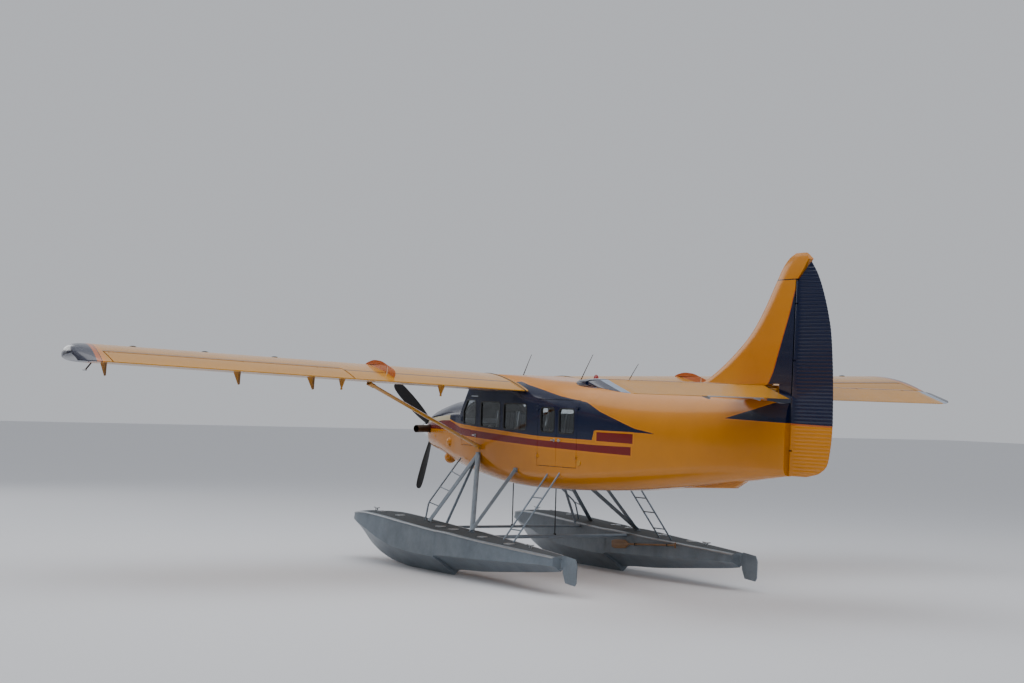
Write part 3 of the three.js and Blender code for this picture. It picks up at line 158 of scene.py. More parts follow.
def through(rows, at):
    """Columns of a table at the stations asked for: between two rows a cubic through both, whose slope
    at a row is the harmonic mean of the slopes each side of it, so that it never overshoots."""
    at = np.asarray(at, float)
    step = np.diff(rows[:, 0])[:, None]
    rise = np.diff(rows[:, 1:], axis=0) / step
    both = rise[1:] * rise[:-1]
    inner = np.where(both > 0, 2 * both / np.where(both > 0, rise[1:] + rise[:-1], 1), 0)
    slope = np.vstack([rise[:1], inner, rise[-1:]])
    i = np.clip(np.searchsorted(rows[:, 0], at) - 1, 0, len(rows) - 2)
    s = ((at - rows[i, 0]) / step[i, 0])[:, None]
    return ((1 + 2 * s) * (1 - s) ** 2 * rows[i, 1:] + s * (1 - s) ** 2 * step[i] * slope[i]
            + s ** 2 * (3 - 2 * s) * rows[i + 1, 1:] + s ** 2 * (s - 1) * step[i] * slope[i + 1])


def shell(rings):
    """Closed form over rings of equal numbers of points: quads from ring to ring, a flat face on each end."""
    rows, count = rings.shape[:2]
    i = np.arange(count)
    j = (i + 1) % count
    start = np.arange(rows - 1)[:, None] * count
    quads = np.stack([start + i, start + j, start + count + j, start + count + i], -1).reshape(-1, 4)
    return rings.reshape(-1, 3), [quads, i[None, ::-1], (rows - 1) * count + i[None]]


def fuselage(rows, stations, inset=0.0, arc=11):
    """Solid of rings round the fuselage. A ring is a box with quarter-ellipse corners: at angle t a corner's
    point lies across * cos t and down * sin t from the corner's centre, and straight runs join the corners."""
    half, low, top, below, across, down = (column[:, None] for column in through(rows, stations).T)
    half, low, top = half - inset, low + inset, top - inset
    below, across, down = (np.maximum(corner - inset, 0.015) for corner in (below, across, down))
    t = np.linspace(0, np.pi / 2, arc)
    cos, sin = np.cos(t), np.sin(t)
    corners = [
        np.stack([half - across + across * cos, top - down + down * sin], -1),
        np.stack([across - half - across * sin, top - down + down * cos], -1),
        np.stack([below - half - below * cos, low + below - below * sin], -1),
        np.stack([half - below + below * sin, low + below - below * cos], -1),
    ]
    share = np.linspace(0, 1, 5)[1:-1, None]
    ring = []
    for corner, after in zip(corners, corners[1:] + corners[:1]):
        ring += [corner, corner[:, -1:] + (after[:, :1] - corner[:, -1:]) * share]
    x, z = np.moveaxis(np.concatenate(ring, 1), -1, 0)
    return shell(np.stack([x, np.broadcast_to(np.asarray(stations, float)[:, None], x.shape), z], -1))


def prism(outline, axis, low, high):
    """Outline of points in the two other axes, in their order x, y, z, carried along one axis."""
    flat = np.asarray(outline, float)
    return shell(np.stack([np.insert(flat, "xyz".index(axis), at, axis=1) for at in (low, high)]))


def rectangle(a0, a1, b0, b1):
    """Outline of a rectangle."""
    return [(a0, b0), (a1, b0), (a1, b1), (a0, b1)]


def block(x0, x1, y0, y1, z0, z1):
    """A box between two corners."""
    return prism(rectangle(x0, x1, y0, y1), "z", z0, z1)


def region(x=(-FAR, FAR), y=(-FAR, FAR), z=(-FAR, FAR)):
    """Everything between the limits given."""
    return block(*x, *y, *z)


def rod(path, radius, sides=16, narrow=None, wide=(0, 1, 0)):
    """Closed bar along a path: centre + wide radius * cos t across + narrow radius * sin t."""
    path, wide = np.asarray(path, float), np.asarray(wide, float)
    along = np.gradient(path, axis=0)
    along /= np.linalg.norm(along, axis=1, keepdims=True)
    across = wide - (along @ wide)[:, None] * along
    across /= np.linalg.norm(across, axis=1, keepdims=True)
    third = np.cross(along, across)
    radius, narrow = (np.broadcast_to(np.asarray(each, float), len(path))[:, None, None]
                      for each in (radius, radius if narrow is None else narrow))
    t = np.linspace(0, 2 * np.pi, sides, endpoint=False)[:, None]
    return shell(path[:, None] + radius * np.cos(t) * across[:, None] + narrow * np.sin(t) * third[:, None])


def bar(axis, at, low, high, radius, sides=16):
    """A round bar along one axis; at is its place on the two others, in their order."""
    path = [np.insert(np.asarray(at, float), "xyz".index(axis), end) for end in (low, high)]
    return rod(path, radius, sides, wide=(0, 1, 0) if axis == "x" else (1, 0, 0))


def joined(*forms):
    """Several forms as one, each with its points numbered after those before it."""
    points, faces, count = [], [], 0
    for own_points, own_faces in forms:
        points.append(own_points)
        faces += [group + count for group in own_faces]
        count += len(own_points)
    return np.concatenate(points), faces


def mesh_points(mesh, kind="co"):
    """Points of a mesh in the aircraft's datum, or its normals."""
    values = np.zeros(len(mesh.vertices) * 3)
    mesh.vertices.foreach_get(kind, values)
    return values.reshape(-1, 3) - (DATUM if kind == "co" else 0)


def set_points(mesh, points):
    """Puts a mesh's points where they are given in the aircraft's datum."""
    mesh.vertices.foreach_set("co", (points + DATUM).ravel())
    return mesh


def changed(form, change, flip=False):
    """A form, or a copy of a carved mesh, with its points put through a function; flip turns a mesh's faces
    outwards again after mirroring."""
    if not isinstance(form, bpy.types.Mesh):
        return change(form[0]), form[1]
    copy = set_points(form.copy(), change(mesh_points(form)))
    if flip:
        copy.flip_normals()
    return copy


def on_side(side, form):
    """The form itself to port (1), its mirror image to starboard (-1)."""
    return changed(form, lambda points: points * (side, 1, 1), side < 0)


def to_mesh(form):
    """Blender mesh of a form in the frame, its doubled points merged and its faces turned outwards."""
    if isinstance(form, bpy.types.Mesh):
        return form
    points, faces = form
    mesh = bpy.data.meshes.new("form")
    mesh.from_pydata(points + DATUM, [], [face for group in faces for face in group.tolist()])
    work = bmesh.new()
    work.from_mesh(mesh)
    bmesh.ops.remove_doubles(work, verts=work.verts, dist=1e-6)
    bmesh.ops.recalc_face_normals(work, faces=work.faces)
    work.to_mesh(mesh)
    work.free()
    return mesh


def evaluated(piece):
    """New mesh of an object as its modifiers leave it."""
    return bpy.data.meshes.new_from_object(piece.evaluated_get(bpy.context.evaluated_depsgraph_get()))


def carve(form, *steps):
    """The form after each step: ("cut", tool, ...) takes tools away, ("keep", ...) keeps what lies in each,
    ("add", ...) joins them on."""
    ways = {"cut": "DIFFERENCE", "keep": "INTERSECT", "add": "UNION"}
    tools = [(way, tool) for way, *own in steps for tool in own]
    shapes = [bpy.data.objects.new("shape", to_mesh(each)) for each in (form, *(tool for _, tool in tools))]
    for shape in shapes:
        bpy.context.scene.collection.objects.link(shape)
    for (way, _), tool in zip(tools, shapes[1:]):
        modifier = shapes[0].modifiers.new(way, "BOOLEAN")
        modifier.operation = ways[way]
        modifier.solver = "MANIFOLD"
        modifier.object = tool
    mesh = evaluated(shapes[0])
    for shape in shapes:
        bpy.data.objects.remove(shape)
    return mesh


def place(name, form, material, body="airframe", slot=None, stands_for=None, sharp=32, bevel=0.0):
    """Makes a piece of a form, smooth but for edges over the sharp angle, and lets it ride on its body. A
    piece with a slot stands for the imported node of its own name."""
    mesh = to_mesh(form)
    mesh.name = name
    mesh.materials.clear()
    mesh.materials.append(material)
    mesh.polygons.foreach_set("use_smooth", np.ones(len(mesh.polygons), bool))
    mesh.set_sharp_from_angle(angle=math.radians(sharp))
    piece = bpy.data.objects.new(name, mesh)
    bpy.context.scene.collection.objects.link(piece)
    if bevel:
        rounding = piece.modifiers.new("rounding", "BEVEL")
        rounding.width = bevel
        rounding.segments = 2
        rounding.limit_method = "ANGLE"
        rounding.angle_limit = math.radians(40)
    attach(piece, body)
    if slot:
        stands_for = name
    if stands_for:
        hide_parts(stands_for)
    return piece


def both(name, form, material, body="airframe", lay=on_side, **how):
    """A piece to port and its mirror image to starboard; {} in the body's name is the side's name."""
    for label, side in SIDES:
        place(f"{name}_{label}", lay(side, form), material, body.format(label), **how)


def rounded(outline, radius, steps=8):
    """Outline with each corner turned into a curve: (1-s)^2 start + 2 s (1-s) corner + s^2 end."""
    outline = np.asarray(outline, float)
    before, after = (np.roll(outline, way, 0) - outline for way in (1, -1))
    before /= np.linalg.norm(before, axis=1, keepdims=True)
    after /= np.linalg.norm(after, axis=1, keepdims=True)
    half = np.arccos(np.clip((before * after).sum(1), -1, 1)) / 2
    reach = (radius / np.tan(half))[:, None]
    s = np.linspace(0, 1, steps)[:, None, None]
    curve = ((1 - s) ** 2 * (outline + before * reach) + 2 * s * (1 - s) * outline
             + s ** 2 * (outline + after * reach))
    return np.swapaxes(curve, 0, 1).reshape(-1, 2)


def grown(outline, amount):
    """Outline with every edge moved out by the same amount."""
    outline = np.asarray(outline, float)
    after = np.roll(outline, -1, 0)
    edge = (after - outline) / np.linalg.norm(after - outline, axis=1, keepdims=True)
    turn = np.sign((after[:, 1] * outline[:, 0] - after[:, 0] * outline[:, 1]).sum())
    out = np.stack([edge[:, 1], -edge[:, 0]], 1) * turn
    before = np.roll(out, 1, 0)
    return outline + (out + before) * (amount / (1 + (out * before).sum(1)))[:, None]


SIDE_WINDOWS = [rectangle(0.425, 1.110, -0.640, -0.190), rectangle(1.250, 2.030, -0.655, -0.205)]
REAR_WINDOW = rectangle(3.200, 3.560, -0.680, -0.275)
WINDOW_CORNER = 0.065
WALL_SPAN = (0.2, 1.2)
DOOR_GAP = 0.008
CREW_DOOR = [(-0.430, -0.985), (0.285, -0.985), (0.285, -0.095), (-0.190, -0.095), (-0.430, -0.355)]
CREW_WINDOW = [(-0.350, -0.610), (0.215, -0.610), (0.215, -0.165), (-0.160, -0.165), (-0.350, -0.370)]
CREW_HINGES = (-0.850, -0.520)
CABIN_HINGES = (-1.080, -0.260)
DOORS = [
    # name, side, hinge line, outline, window, heights of the hinges
    ("crew_door_port", 1, -0.430, CREW_DOOR, CREW_WINDOW, CREW_HINGES),
    ("crew_door_starboard", -1, -0.430, CREW_DOOR, CREW_WINDOW, CREW_HINGES),
    ("cargo_door_fore", 1, 2.400, rectangle(2.400, 2.950, -1.240, -0.115),
     rectangle(2.485, 2.885, -0.665, -0.255), CABIN_HINGES),
    ("cargo_door_aft", 1, 3.520, rectangle(2.958, 3.520, -1.240, -0.115),
     rectangle(3.020, 3.435, -0.675, -0.265), CABIN_HINGES),
    ("cabin_door_starboard", -1, 2.400, rectangle(2.400, 3.080, -1.240, -0.115),
     rectangle(2.500, 2.960, -0.665, -0.255), CABIN_HINGES),
]
SCREEN_Y, SCREEN_Z = -0.640, -0.510
SCREEN_RISE, SCREEN_SWEEP, SCREEN_X = 0.864, 0.32, 0.620


def ahead_of_screen(side, depth):
    """Everything ahead of one half of the windscreen moved aft by depth: its face is the sloping plane
    y = SCREEN_Y + (z - SCREEN_Z) * SCREEN_RISE - (SCREEN_X - x) * SCREEN_SWEEP + depth."""
    def screen_y(x, z):
        return SCREEN_Y + (z - SCREEN_Z) * SCREEN_RISE - (SCREEN_X - x) * SCREEN_SWEEP + depth
    rings = [[(side * x, screen_y(x, -1.7), -1.7), (side * x, screen_y(x, 0.5), 0.5),
              (side * x, -4.0, 0.5), (side * x, -4.0, -1.7)] for x in (-0.002, 1.2)]
    return shell(np.array(rings))


def window_plug(outline, side, amount=0.0):
    """Block the shape of a window, grown by an amount, through one cabin side."""
    return on_side(side, prism(grown(rounded(outline, WINDOW_CORNER), amount), "x", *WALL_SPAN))


FINE = np.concatenate([np.linspace(-0.8, 0.8, 65), np.linspace(0.85, CABIN_END_Y, 62)])
hull_form = fuselage(CABIN_ROWS, np.concatenate([FINE, np.linspace(3.95, 8.3, 60)]))
cabin_inner = carve(fuselage(CABIN_ROWS, np.concatenate([[-0.84], FINE[1:-1], [3.95]]), WALL),
                    ("cut", region(y=(-FAR, ROOF_Y - WALL), z=(CEILING_Z, FAR))))
cabin_shell = carve(fuselage(CABIN_ROWS, FINE), ("cut", cabin_inner))


# Aircraft enamel: a two-part gloss paint sprayed over primed sheet, golden amber with navy above,
# dark red stripes and gold lines. It is smooth and bright, with a trace of orange peel, faint grime
# in patches, rows of flush rivets and lapped panel edges just showing through.
YELLOW, ORANGE, NAVY, RED = "#c47b07", "#b45804", "#081534", "#700a06"
GOLD, CREAM, LINING = "#cf8010", "#cdbf9c", "#6f716e"
GLOSS = 0.20
BORDER = 0.03
RIVET_SIZE = 0.006
# Edges of paint in the side view, as points (y, z).
NAVY_TOP = [(-3.0, 0.13), (0.3, 0.13), (0.9, 0.15), (1.3, 0.16), (1.63, 0.19), (1.90, 0.13), (2.40, 0.05),
            (2.96, -0.05), (3.70, -0.14), (4.10, -0.29), (5.0, -0.54), (5.45, -0.60), (9.5, -0.60)]
NAVY_LOW = [(-3.0, -0.62), (-1.88, -0.59), (-0.96, -0.57), (-0.61, -0.605), (0.83, -0.67), (2.42, -0.745),
            (3.975, -0.765), (3.98, -0.605), (5.65, -0.60), (9.5, -0.60)]
STRIPE_TOP = [(-3.0, -0.655), (-2.36, -0.622), (-1.92, -0.602), (-1.41, -0.562), (-1.10, -0.560), (-0.49, -0.68),
              (0.83, -0.745), (2.43, -0.81), (4.0, -0.84), (5.0, -0.84)]
STRIPE_LOW = [(-3.0, -0.76), (-1.88, -0.735), (-0.96, -0.735), (-0.30, -0.82), (1.39, -0.885), (2.43, -0.92),
              (4.0, -0.96), (5.0, -0.98)]
BLOCK_TOP, BLOCK_LOW = [(3.9, -0.595), (5.1, -0.60)], [(3.9, -0.80), (5.1, -0.82)]
NOSE_TOP = [(-2.8, -0.57), (-2.36, -0.54), (-1.92, -0.512), (-1.41, -0.478), (-1.05, -0.455)]
NOSE_LOW = [(-2.8, -0.66), (-1.05, -0.56)]
WEDGE_TOP, WEDGE_LOW = [(7.02, -0.32), (7.60, -0.17), (8.42, 0.06)], [(7.02, -0.32), (8.42, -0.36), (9.40, -0.38)]
ARROW_TOP, ARROW_LOW = [(5.2, -0.585), (5.47, -0.605)], [(5.2, -0.605), (5.47, -0.615)]
LAYERS = [
    # colour, lower edge, upper edge, start, end, how far it reaches past its edges
    (GOLD, NAVY_LOW, NAVY_TOP, -3.0, 5.42, 0.018),
    (NAVY, NAVY_LOW, NAVY_TOP, -3.0, 5.42, 0.0),
    (NAVY, ARROW_LOW, ARROW_TOP, 5.0, 5.47, 0.0),
    (GOLD, STRIPE_LOW, STRIPE_TOP, -3.0, 4.93, BORDER),
    (CREAM, NOSE_LOW, NOSE_TOP, -2.75, -1.08, 0.0),
    (RED, STRIPE_LOW, STRIPE_TOP, -3.0, 4.93, 0.0),
    (GOLD, BLOCK_LOW, BLOCK_TOP, 4.02, 5.0, 0.0),
    (RED, BLOCK_LOW, BLOCK_TOP, 4.02, 5.0, -BORDER),
    (GOLD, WEDGE_LOW, WEDGE_TOP, 7.02, 9.4, 0.02),
    (NAVY, WEDGE_LOW, WEDGE_TOP, 7.02, 9.4, 0.0),
]


def compute(operation, *values):
    """A sum done by a Math node, in the tree of its first value."""
    return add_node(values[0].id_data, "Math", enumerate(values), operation=operation)


def edge_line(y, points, low=-1.0, high=0.5):
    """Height of a paint edge at y: straight lines between its points, held in a ramp's grey value."""
    start, end = points[0][0], points[-1][0]
    along = add_node(y.id_data, "MapRange", {"Value": y, "From Min": start, "From Max": end})
    ramp = add_node(y.id_data, "ValToRGB", {"Fac": along})
    stops = ramp.color_ramp.elements
    while len(stops) < len(points):
        stops.new(0.5)
    for stop, (at, _) in zip(stops, points):
        stop.position = (at - start) / (end - start)
    for stop, (_, height) in zip(stops, points):
        stop.color = ((height - low) / (high - low),) * 3 + (1.0,)
    return add_node(y.id_data, "MapRange", {"Value": ramp, "To Min": low, "To Max": high})


def away_from(value, line):
    """Distance of a value from a line at a fixed value."""
    return compute("ABSOLUTE", compute("SUBTRACT", value, line))


def paint_over(under, over, mask):
    """Colour over another wherever the mask is 1."""
    return add_node(mask.id_data, "Mix", {0: mask, 6: under, 7: over}, data_type="RGBA").outputs[2]


def datum_axes(tree):
    """The place in the aircraft's datum, from the object's coordinates, as a vector and as x, y and z."""
    place_of = add_node(tree, "TexCoord").outputs["Object"]
    moved = add_node(tree, "VectorMath", {0: place_of, 1: tuple(-DATUM)}, operation="ADD")
    return moved, add_node(tree, "SeparateXYZ", {0: moved}).outputs


def rivets(along, across, pitch=0.05):
    """1 at each rivet of a row: along is the way down the row, across the distance from its line."""
    step = compute("PINGPONG", along, pitch / 2)
    far = compute("ADD", compute("MULTIPLY", step, step), compute("MULTIPLY", across, across))
    return compute("LESS_THAN", far, RIVET_SIZE ** 2)


def enamel_finish(tree, surface, colour, relief=None):
    """Gloss enamel under a clear coat: a slow stain darkens the colour, fine orange peel ripples the shine."""
    vector, _ = datum_axes(tree)
    stain = add_node(tree, "TexNoise", {"Vector": vector, "Scale": 1.3, "Detail": 6.0, "Roughness": 0.65})
    grime = add_node(tree, "MapRange", {"Value": stain, "From Min": 0.35, "From Max": 0.75, "To Max": 0.12})
    streak = add_node(tree, "Mapping", {"Vector": vector, "Scale": (2.0, 0.8, 4.0)})
    smear = add_node(tree, "TexNoise", {"Vector": streak, "Scale": 2.0, "Detail": 5.0})
    rough = add_node(tree, "MapRange", {"Value": smear, "To Min": GLOSS - 0.05, "To Max": GLOSS + 0.10})
    peel = add_node(tree, "TexNoise", {"Vector": vector, "Scale": 260.0, "Detail": 2.0})
    bump = add_node(tree, "Bump", {"Height": peel, "Strength": 0.10, "Distance": 0.0006})
    if relief is not None:
        bump = add_node(tree, "Bump", {"Height": relief, "Strength": 0.5, "Distance": 0.001, "Normal": bump})
    feed(surface, {"Base Color": paint_over(colour, linear("#241a10"), grime), "Roughness": rough, "Normal": bump,
                   "Coat Weight": 0.25, "Coat Roughness": 0.06, "Specular IOR Level": 0.42})


def fuselage_paint():
    """The fuselage's colours as areas between edge lines in the side view, with frames and laps in relief,
    and a plain lining on every face that looks inwards."""
    material, tree, surface = new_material("aircraft_enamel_livery")
    _, (x, y, z) = datum_axes(tree)

    def within(value, low, high):
        return compute("MULTIPLY", compute("GREATER_THAN", value, low), compute("LESS_THAN", value, high))

    colour = linear(YELLOW)
    for shade, lower, upper, start, end, margin in LAYERS:
        low = compute("SUBTRACT", edge_line(y, lower), margin)
        high = compute("ADD", edge_line(y, upper), margin)
        area = compute("MULTIPLY", within(z, low, high), within(y, start - margin, end + margin))
        colour = paint_over(colour, linear(shade), area)
    facing = add_node(tree, "SeparateXYZ", {0: add_node(tree, "TexCoord").outputs["Normal"]}).outputs
    outward = compute("MULTIPLY_ADD", facing[2], compute("ADD", z, 0.65), compute("MULTIPLY", facing[0], x))
    colour = paint_over(colour, linear(LINING), compute("LESS_THAN", outward, -0.05))
    frames = compute("PINGPONG", compute("ADD", y, 0.1), 0.32)
    rows = compute("MAXIMUM", rivets(z, compute("SUBTRACT", frames, 0.022)), rivets(y, compute("PINGPONG", z, 0.21)))
    enamel_finish(tree, surface, colour, compute("SUBTRACT", rows, compute("LESS_THAN", frames, 0.004)))
    return material


def coat(name, dark, light, scale, roughness, relief=0.0, depth=0.002, detail=6.0, stretch=(1, 1, 1), **more):
    """A worn plain finish: noise of the given scale runs between two shades and lifts the surface a little."""
    material, tree, surface = new_material(name)
    vector = add_node(tree, "Mapping", {"Vector": datum_axes(tree)[0], "Scale": stretch})
    worn = add_node(tree, "TexNoise", {"Vector": vector, "Scale": scale, "Detail": detail})
    shade = add_node(tree, "ValToRGB", {"Fac": worn})
    for stop, colour in zip(shade.color_ramp.elements, (dark, light)):
        stop.color = linear(colour)
    bump = add_node(tree, "Bump", {"Height": worn, "Strength": relief, "Distance": depth})
    feed(surface, {"Base Color": shade, "Roughness": roughness, "Normal": bump, **more})
    return material


def metal(name, colour, scale, detail, low, high):
    """Bare metal whose roughness wanders between two values."""
    material, tree, surface = new_material(name)
    marks = add_node(tree, "TexNoise", {"Vector": datum_axes(tree)[0], "Scale": scale, "Detail": detail})
    rough = add_node(tree, "MapRange", {"Value": marks, "To Min": low, "To Max": high})
    feed(surface, {"Base Color": linear(colour), "Metallic": 1.0, "Roughness": rough})
    return material


livery = fuselage_paint()

# Cabin walls: the two sides from sill to wing, the belly and the rear roof, with the strips of hinge
# on which the doors hang. Each is as thick as the frames and lining behind its skin.
SILL_Z = SCREEN_Z + 0.010
FRAME_DEPTH = 0.040
CABIN_Y = (FIREWALL_Y + 0.0005, CABIN_END_Y - SEAT)
KNUCKLE_RADIUS, KNUCKLE_STAND, KNUCKLE_HALF, KNUCKLE_LUG = 0.011, 0.012, 0.022, 0.020
STRAP = 0.060


def row_at(y):
    """Columns of the fuselage's table at a station, in straight lines between its rows, as the hinges lie."""
    return [float(np.interp(y, CABIN_ROWS[:, 0], column)) for column in CABIN_ROWS[:, 1:].T]


def skin_at(y, z):
    """Distance from the centreline to the skin: half - across * (1 - sqrt(1 - up^2)) in the top corner."""
    half, _, top, _, across, down = row_at(y)
    up = max(0.0, z - (top - down)) / down
    return half - across * (1 - math.sqrt(1 - up * up))


def hinge_parts(hinge_y, heights, side, toward, ends):
    """Barrels and straps of one half of some hinges: a round post off the skin, a thin plate back to it."""
    x, end_y = row_at(hinge_y)[0] + KNUCKLE_STAND, hinge_y + toward * STRAP
    parts = []
    for low, high in [(height + low, height + high) for height in heights for low, high in ends]:
        skin = skin_at(end_y, high)
        plate = [(x - 0.004, hinge_y), (x + 0.006, hinge_y), (skin + 0.006, end_y), (skin - 0.012, end_y)]
        parts += [bar("z", (side * x, hinge_y), low, high, KNUCKLE_RADIUS, 14),
                  on_side(side, prism(plate, "z", low, high))]
    return parts


def side_wall(name, side, windows, hinge_lines):
    """One cabin side: the shell's own half, less the slope of the windscreen, the doors and the windows."""
    half = on_side(side, region((0.001, FAR), CABIN_Y, (BELLY_Z + SEAT, CEILING_Z - SEAT)))
    slope = carve(ahead_of_screen(side, FRAME_DEPTH + SEAT), ("cut", region(z=(-FAR, SILL_Z))))
    openings = [on_side(side, prism(grown(outline, DOOR_GAP), "x", *WALL_SPAN))
                for _, own, _, outline, _, _ in DOORS if own == side]
    panes = [window_plug(outline, side) for outline in windows]
    wall = carve(cabin_shell, ("keep", half), ("cut", slope, region(y=(ROOF_Y, FAR), z=(ROOF_Z, FAR)),
                                               region((-0.5, 0.5), (-FAR, -0.7)), *openings, *panes))
    place(name, wall, livery, slot="navy_paint")
    lug = KNUCKLE_HALF + SEAT
    ends = [(lug, lug + KNUCKLE_LUG), (-lug - KNUCKLE_LUG, -lug)]
    lugs = [part for hinge_y, toward, heights in hinge_lines
            for part in hinge_parts(hinge_y, heights, side, toward, ends)]
    place(name + "_hinges", joined(*lugs), livery, bevel=0.0015)


side_wall("cabin_side_port", 1, SIDE_WINDOWS,
          [(-0.430, -1, CREW_HINGES), (2.400, -1, CABIN_HINGES), (3.520, 1, CABIN_HINGES)])
side_wall("cabin_side_starboard", -1, [*SIDE_WINDOWS, REAR_WINDOW],
          [(-0.430, -1, CREW_HINGES), (2.400, -1, CABIN_HINGES)])
for name, part in (("belly", region(y=CABIN_Y, z=(-FAR, BELLY_Z - SEAT))),
                   ("rear_roof", region(y=(ROOF_Y + SEAT, CABIN_Y[1]), z=(ROOF_Z + SEAT, FAR)))):
    place(name, carve(cabin_shell, ("keep", part)), livery, slot="yellow_paint")

# Doors: pressed aluminium leaves as thick as the wall, on external hinges of aluminium bar, each with
# a turned lever handle of bare metal on a round plate near its free edge.
bare_metal = metal("brushed_bare_aluminium", "#a8abae", 90.0, 5.0, 0.25, 0.5)
HANDLE_REACH, HANDLE_Z = 0.085, -0.800
for name, side, hinge_y, outline, window, heights in DOORS:
    opening = on_side(side, prism(outline, "x", *WALL_SPAN))
    leaf = carve(cabin_shell, ("keep", opening), ("cut", window_plug(window, side)))
    place(name, leaf, livery, name + "_body", "navy_paint")
    ends = [y for y, _ in outline]
    into = 1 if hinge_y == min(ends) else -1
    moving = hinge_parts(hinge_y, heights, side, into, [(-KNUCKLE_HALF, KNUCKLE_HALF)])
    place(name + "_hinges", joined(*moving), livery, name + "_body", bevel=0.0015)
    free = (max(ends) if into > 0 else min(ends)) - into * 0.06
    skin = skin_at(free, HANDLE_Z)
    lever = [(skin + 0.020, free, HANDLE_Z), (skin + 0.020, free - into * HANDLE_REACH, HANDLE_Z)]
    handle = joined(bar("x", (free, HANDLE_Z), skin - 0.002, skin + 0.006, 0.028, 24),
                    bar("x", (free, HANDLE_Z), skin, skin + 0.026, 0.009, 14),
                    rod(lever, 0.009, 12, narrow=0.005, wide=(0, 0, 1)))
    place(name + "_handle", on_side(side, handle), bare_metal, name + "_body", bevel=0.001)

# Windscreen frame: a pressed frame with a centre post and the rounded deck ahead of it, painted navy,
# and the wing's centre section, which closes the cabin's top and carries the brow over the screen.
DECK_SKIN = 0.030
FRAME_TOP_Z = 0.140
PANE = [(0.045, -0.095), (0.045, -0.008), (0.640, -0.008), (0.640, -0.430), (0.575, -0.420), (0.490, -0.270),
        (0.300, -0.150)]
DECK_ROWS = np.array([
    # the rounded deck between the firewall and the windscreen, in the same columns as the cabin's
    [-0.800, 0.650, -1.375, -0.150, 0.230, 0.480, 0.340],
    [-0.300, 0.735, -1.440, -0.110, 0.240, 0.560, 0.390],
])
deck_inner = DECK_ROWS.copy()
deck_inner[:, 0] = (-0.900, 0.0)
deck = carve(fuselage(DECK_ROWS, np.linspace(-0.8, -0.3, 12)),
             ("cut", fuselage(deck_inner, np.linspace(-0.9, 0.0, 12), DECK_SKIN)))
above_sill = region(y=(CABIN_Y[0], 0.4), z=(SILL_Z + SEAT, FRAME_TOP_Z))
behind_screen = carve(hull_form, ("keep", above_sill), ("cut", *[ahead_of_screen(side, 0) for side in (1, -1)]))
halves = []
for side in (1, -1):
    own_half, pane = on_side(side, region((0, FAR))), on_side(side, prism(PANE, "y", -1.3, 0.4))
    near_screen = ahead_of_screen(side, FRAME_DEPTH)
    halves += [carve(behind_screen, ("keep", near_screen, own_half), ("cut", pane)),
               carve(deck, ("keep", above_sill, near_screen, own_half))]
place("windscreen_frame", carve(halves[0], ("add", *halves[1:])), livery, slot="navy_paint")
brow = carve(hull_form, ("keep", region(y=(-0.6, ROOF_Y), z=(CEILING_Z, FAR))),
             ("cut", *[ahead_of_screen(side, FRAME_DEPTH + SEAT) for side in (1, -1)]))
place("wing_centre", brow, livery, slot="navy_paint")

# Windows: clear acrylic panes set a little way in, each held by a black rubber seal that laps over the
# edge of its opening; the windscreen's two flat panes lie under flat retaining strips.
acrylic, tree, surface = new_material("clear_acrylic_glazing")
feed(surface, {"Base Color": linear("#e9eef0"), "Roughness": 0.02, "IOR": 1.49, "Transmission Weight": 1.0})
rubber = coat("black_window_rubber", "#0d0d0e", "#1e1f20", 30.0, 0.55, detail=4.0)
PANE_DEPTH, PANE_THICK = 0.014, 0.005
SEAL_RISE, SEAL_LAP, SEAL_LIP = 0.003, 0.013, 0.009
pane_sheet, seal_sheet = (
    carve(fuselage(CABIN_ROWS, FINE, outer), ("cut", fuselage(CABIN_ROWS, FINE, inner)))
    for outer, inner in ((PANE_DEPTH, PANE_DEPTH + PANE_THICK), (-SEAL_RISE, PANE_DEPTH + 2 * PANE_THICK)))
glazing = [*[(f"crew_window_{label}", side, CREW_WINDOW, f"crew_door_{label}_body") for label, side in SIDES],
           *[(name + "_window", side, window, name + "_body") for name, side, _, _, window, _ in DOORS[2:]],
           *[(f"side_window_{number}_{label}", side, outline, "airframe") for label, side in SIDES
             for number, outline in enumerate(SIDE_WINDOWS, 1)],
           ("side_window_3_starboard", -1, REAR_WINDOW, "airframe")]
for name, side, outline, body in glazing:
    place(name, carve(pane_sheet, ("keep", window_plug(outline, side, SEAT * 3))), acrylic, body)
    place(name + "_seal", carve(seal_sheet, ("keep", window_plug(outline, side, SEAL_LAP)),
                                ("cut", window_plug(outline, side, -SEAL_LIP))), rubber, body, sharp=25)
for label, side in SIDES:
    glass, strip, hole = (on_side(side, prism(grown(PANE, amount), "y", start, end))
                          for amount, start, end in ((0.003, -1.3, 0.4), (0.012, -1.3, 0.4), (-0.010, -1.4, 0.5)))
    place("windscreen_" + label, carve(glass, ("keep", ahead_of_screen(side, 0.016)),
                                       ("cut", ahead_of_screen(side, 0.010))), acrylic)
    place("windscreen_strip_" + label, carve(strip, ("keep", ahead_of_screen(side, 0.006)),
                                             ("cut", ahead_of_screen(side, -0.003), hole)), bare_metal, sharp=25)



# Rear fuselage: a tapering riveted cone, egg-shaped in section, with the ventral strake below it, both
# of painted aluminium sheet on frames and stringers.
RUDDER_Y, RUDDER_Z = 8.372, -1.110
RUDDER_LEAN = math.tan(math.radians(1.43))
RUDDER_NOSE = 0.056
RUNNING = 0.012
GAP_AHEAD = 0.008


def rudder_axis(z):
    """Station of the rudder's leaning hinge line at a height."""
    return RUDDER_Y + (z - RUDDER_Z) * RUDDER_LEAN


def rudder_room(top, *beyond):
    """Room for the rudder aft of its hinge line, from below up to a height and then by the points given."""
    edge = [(rudder_axis(z) - GAP_AHEAD, z) for z in (-1.6, top)]
    return prism([*edge, *beyond], "x", -0.6, 0.6)


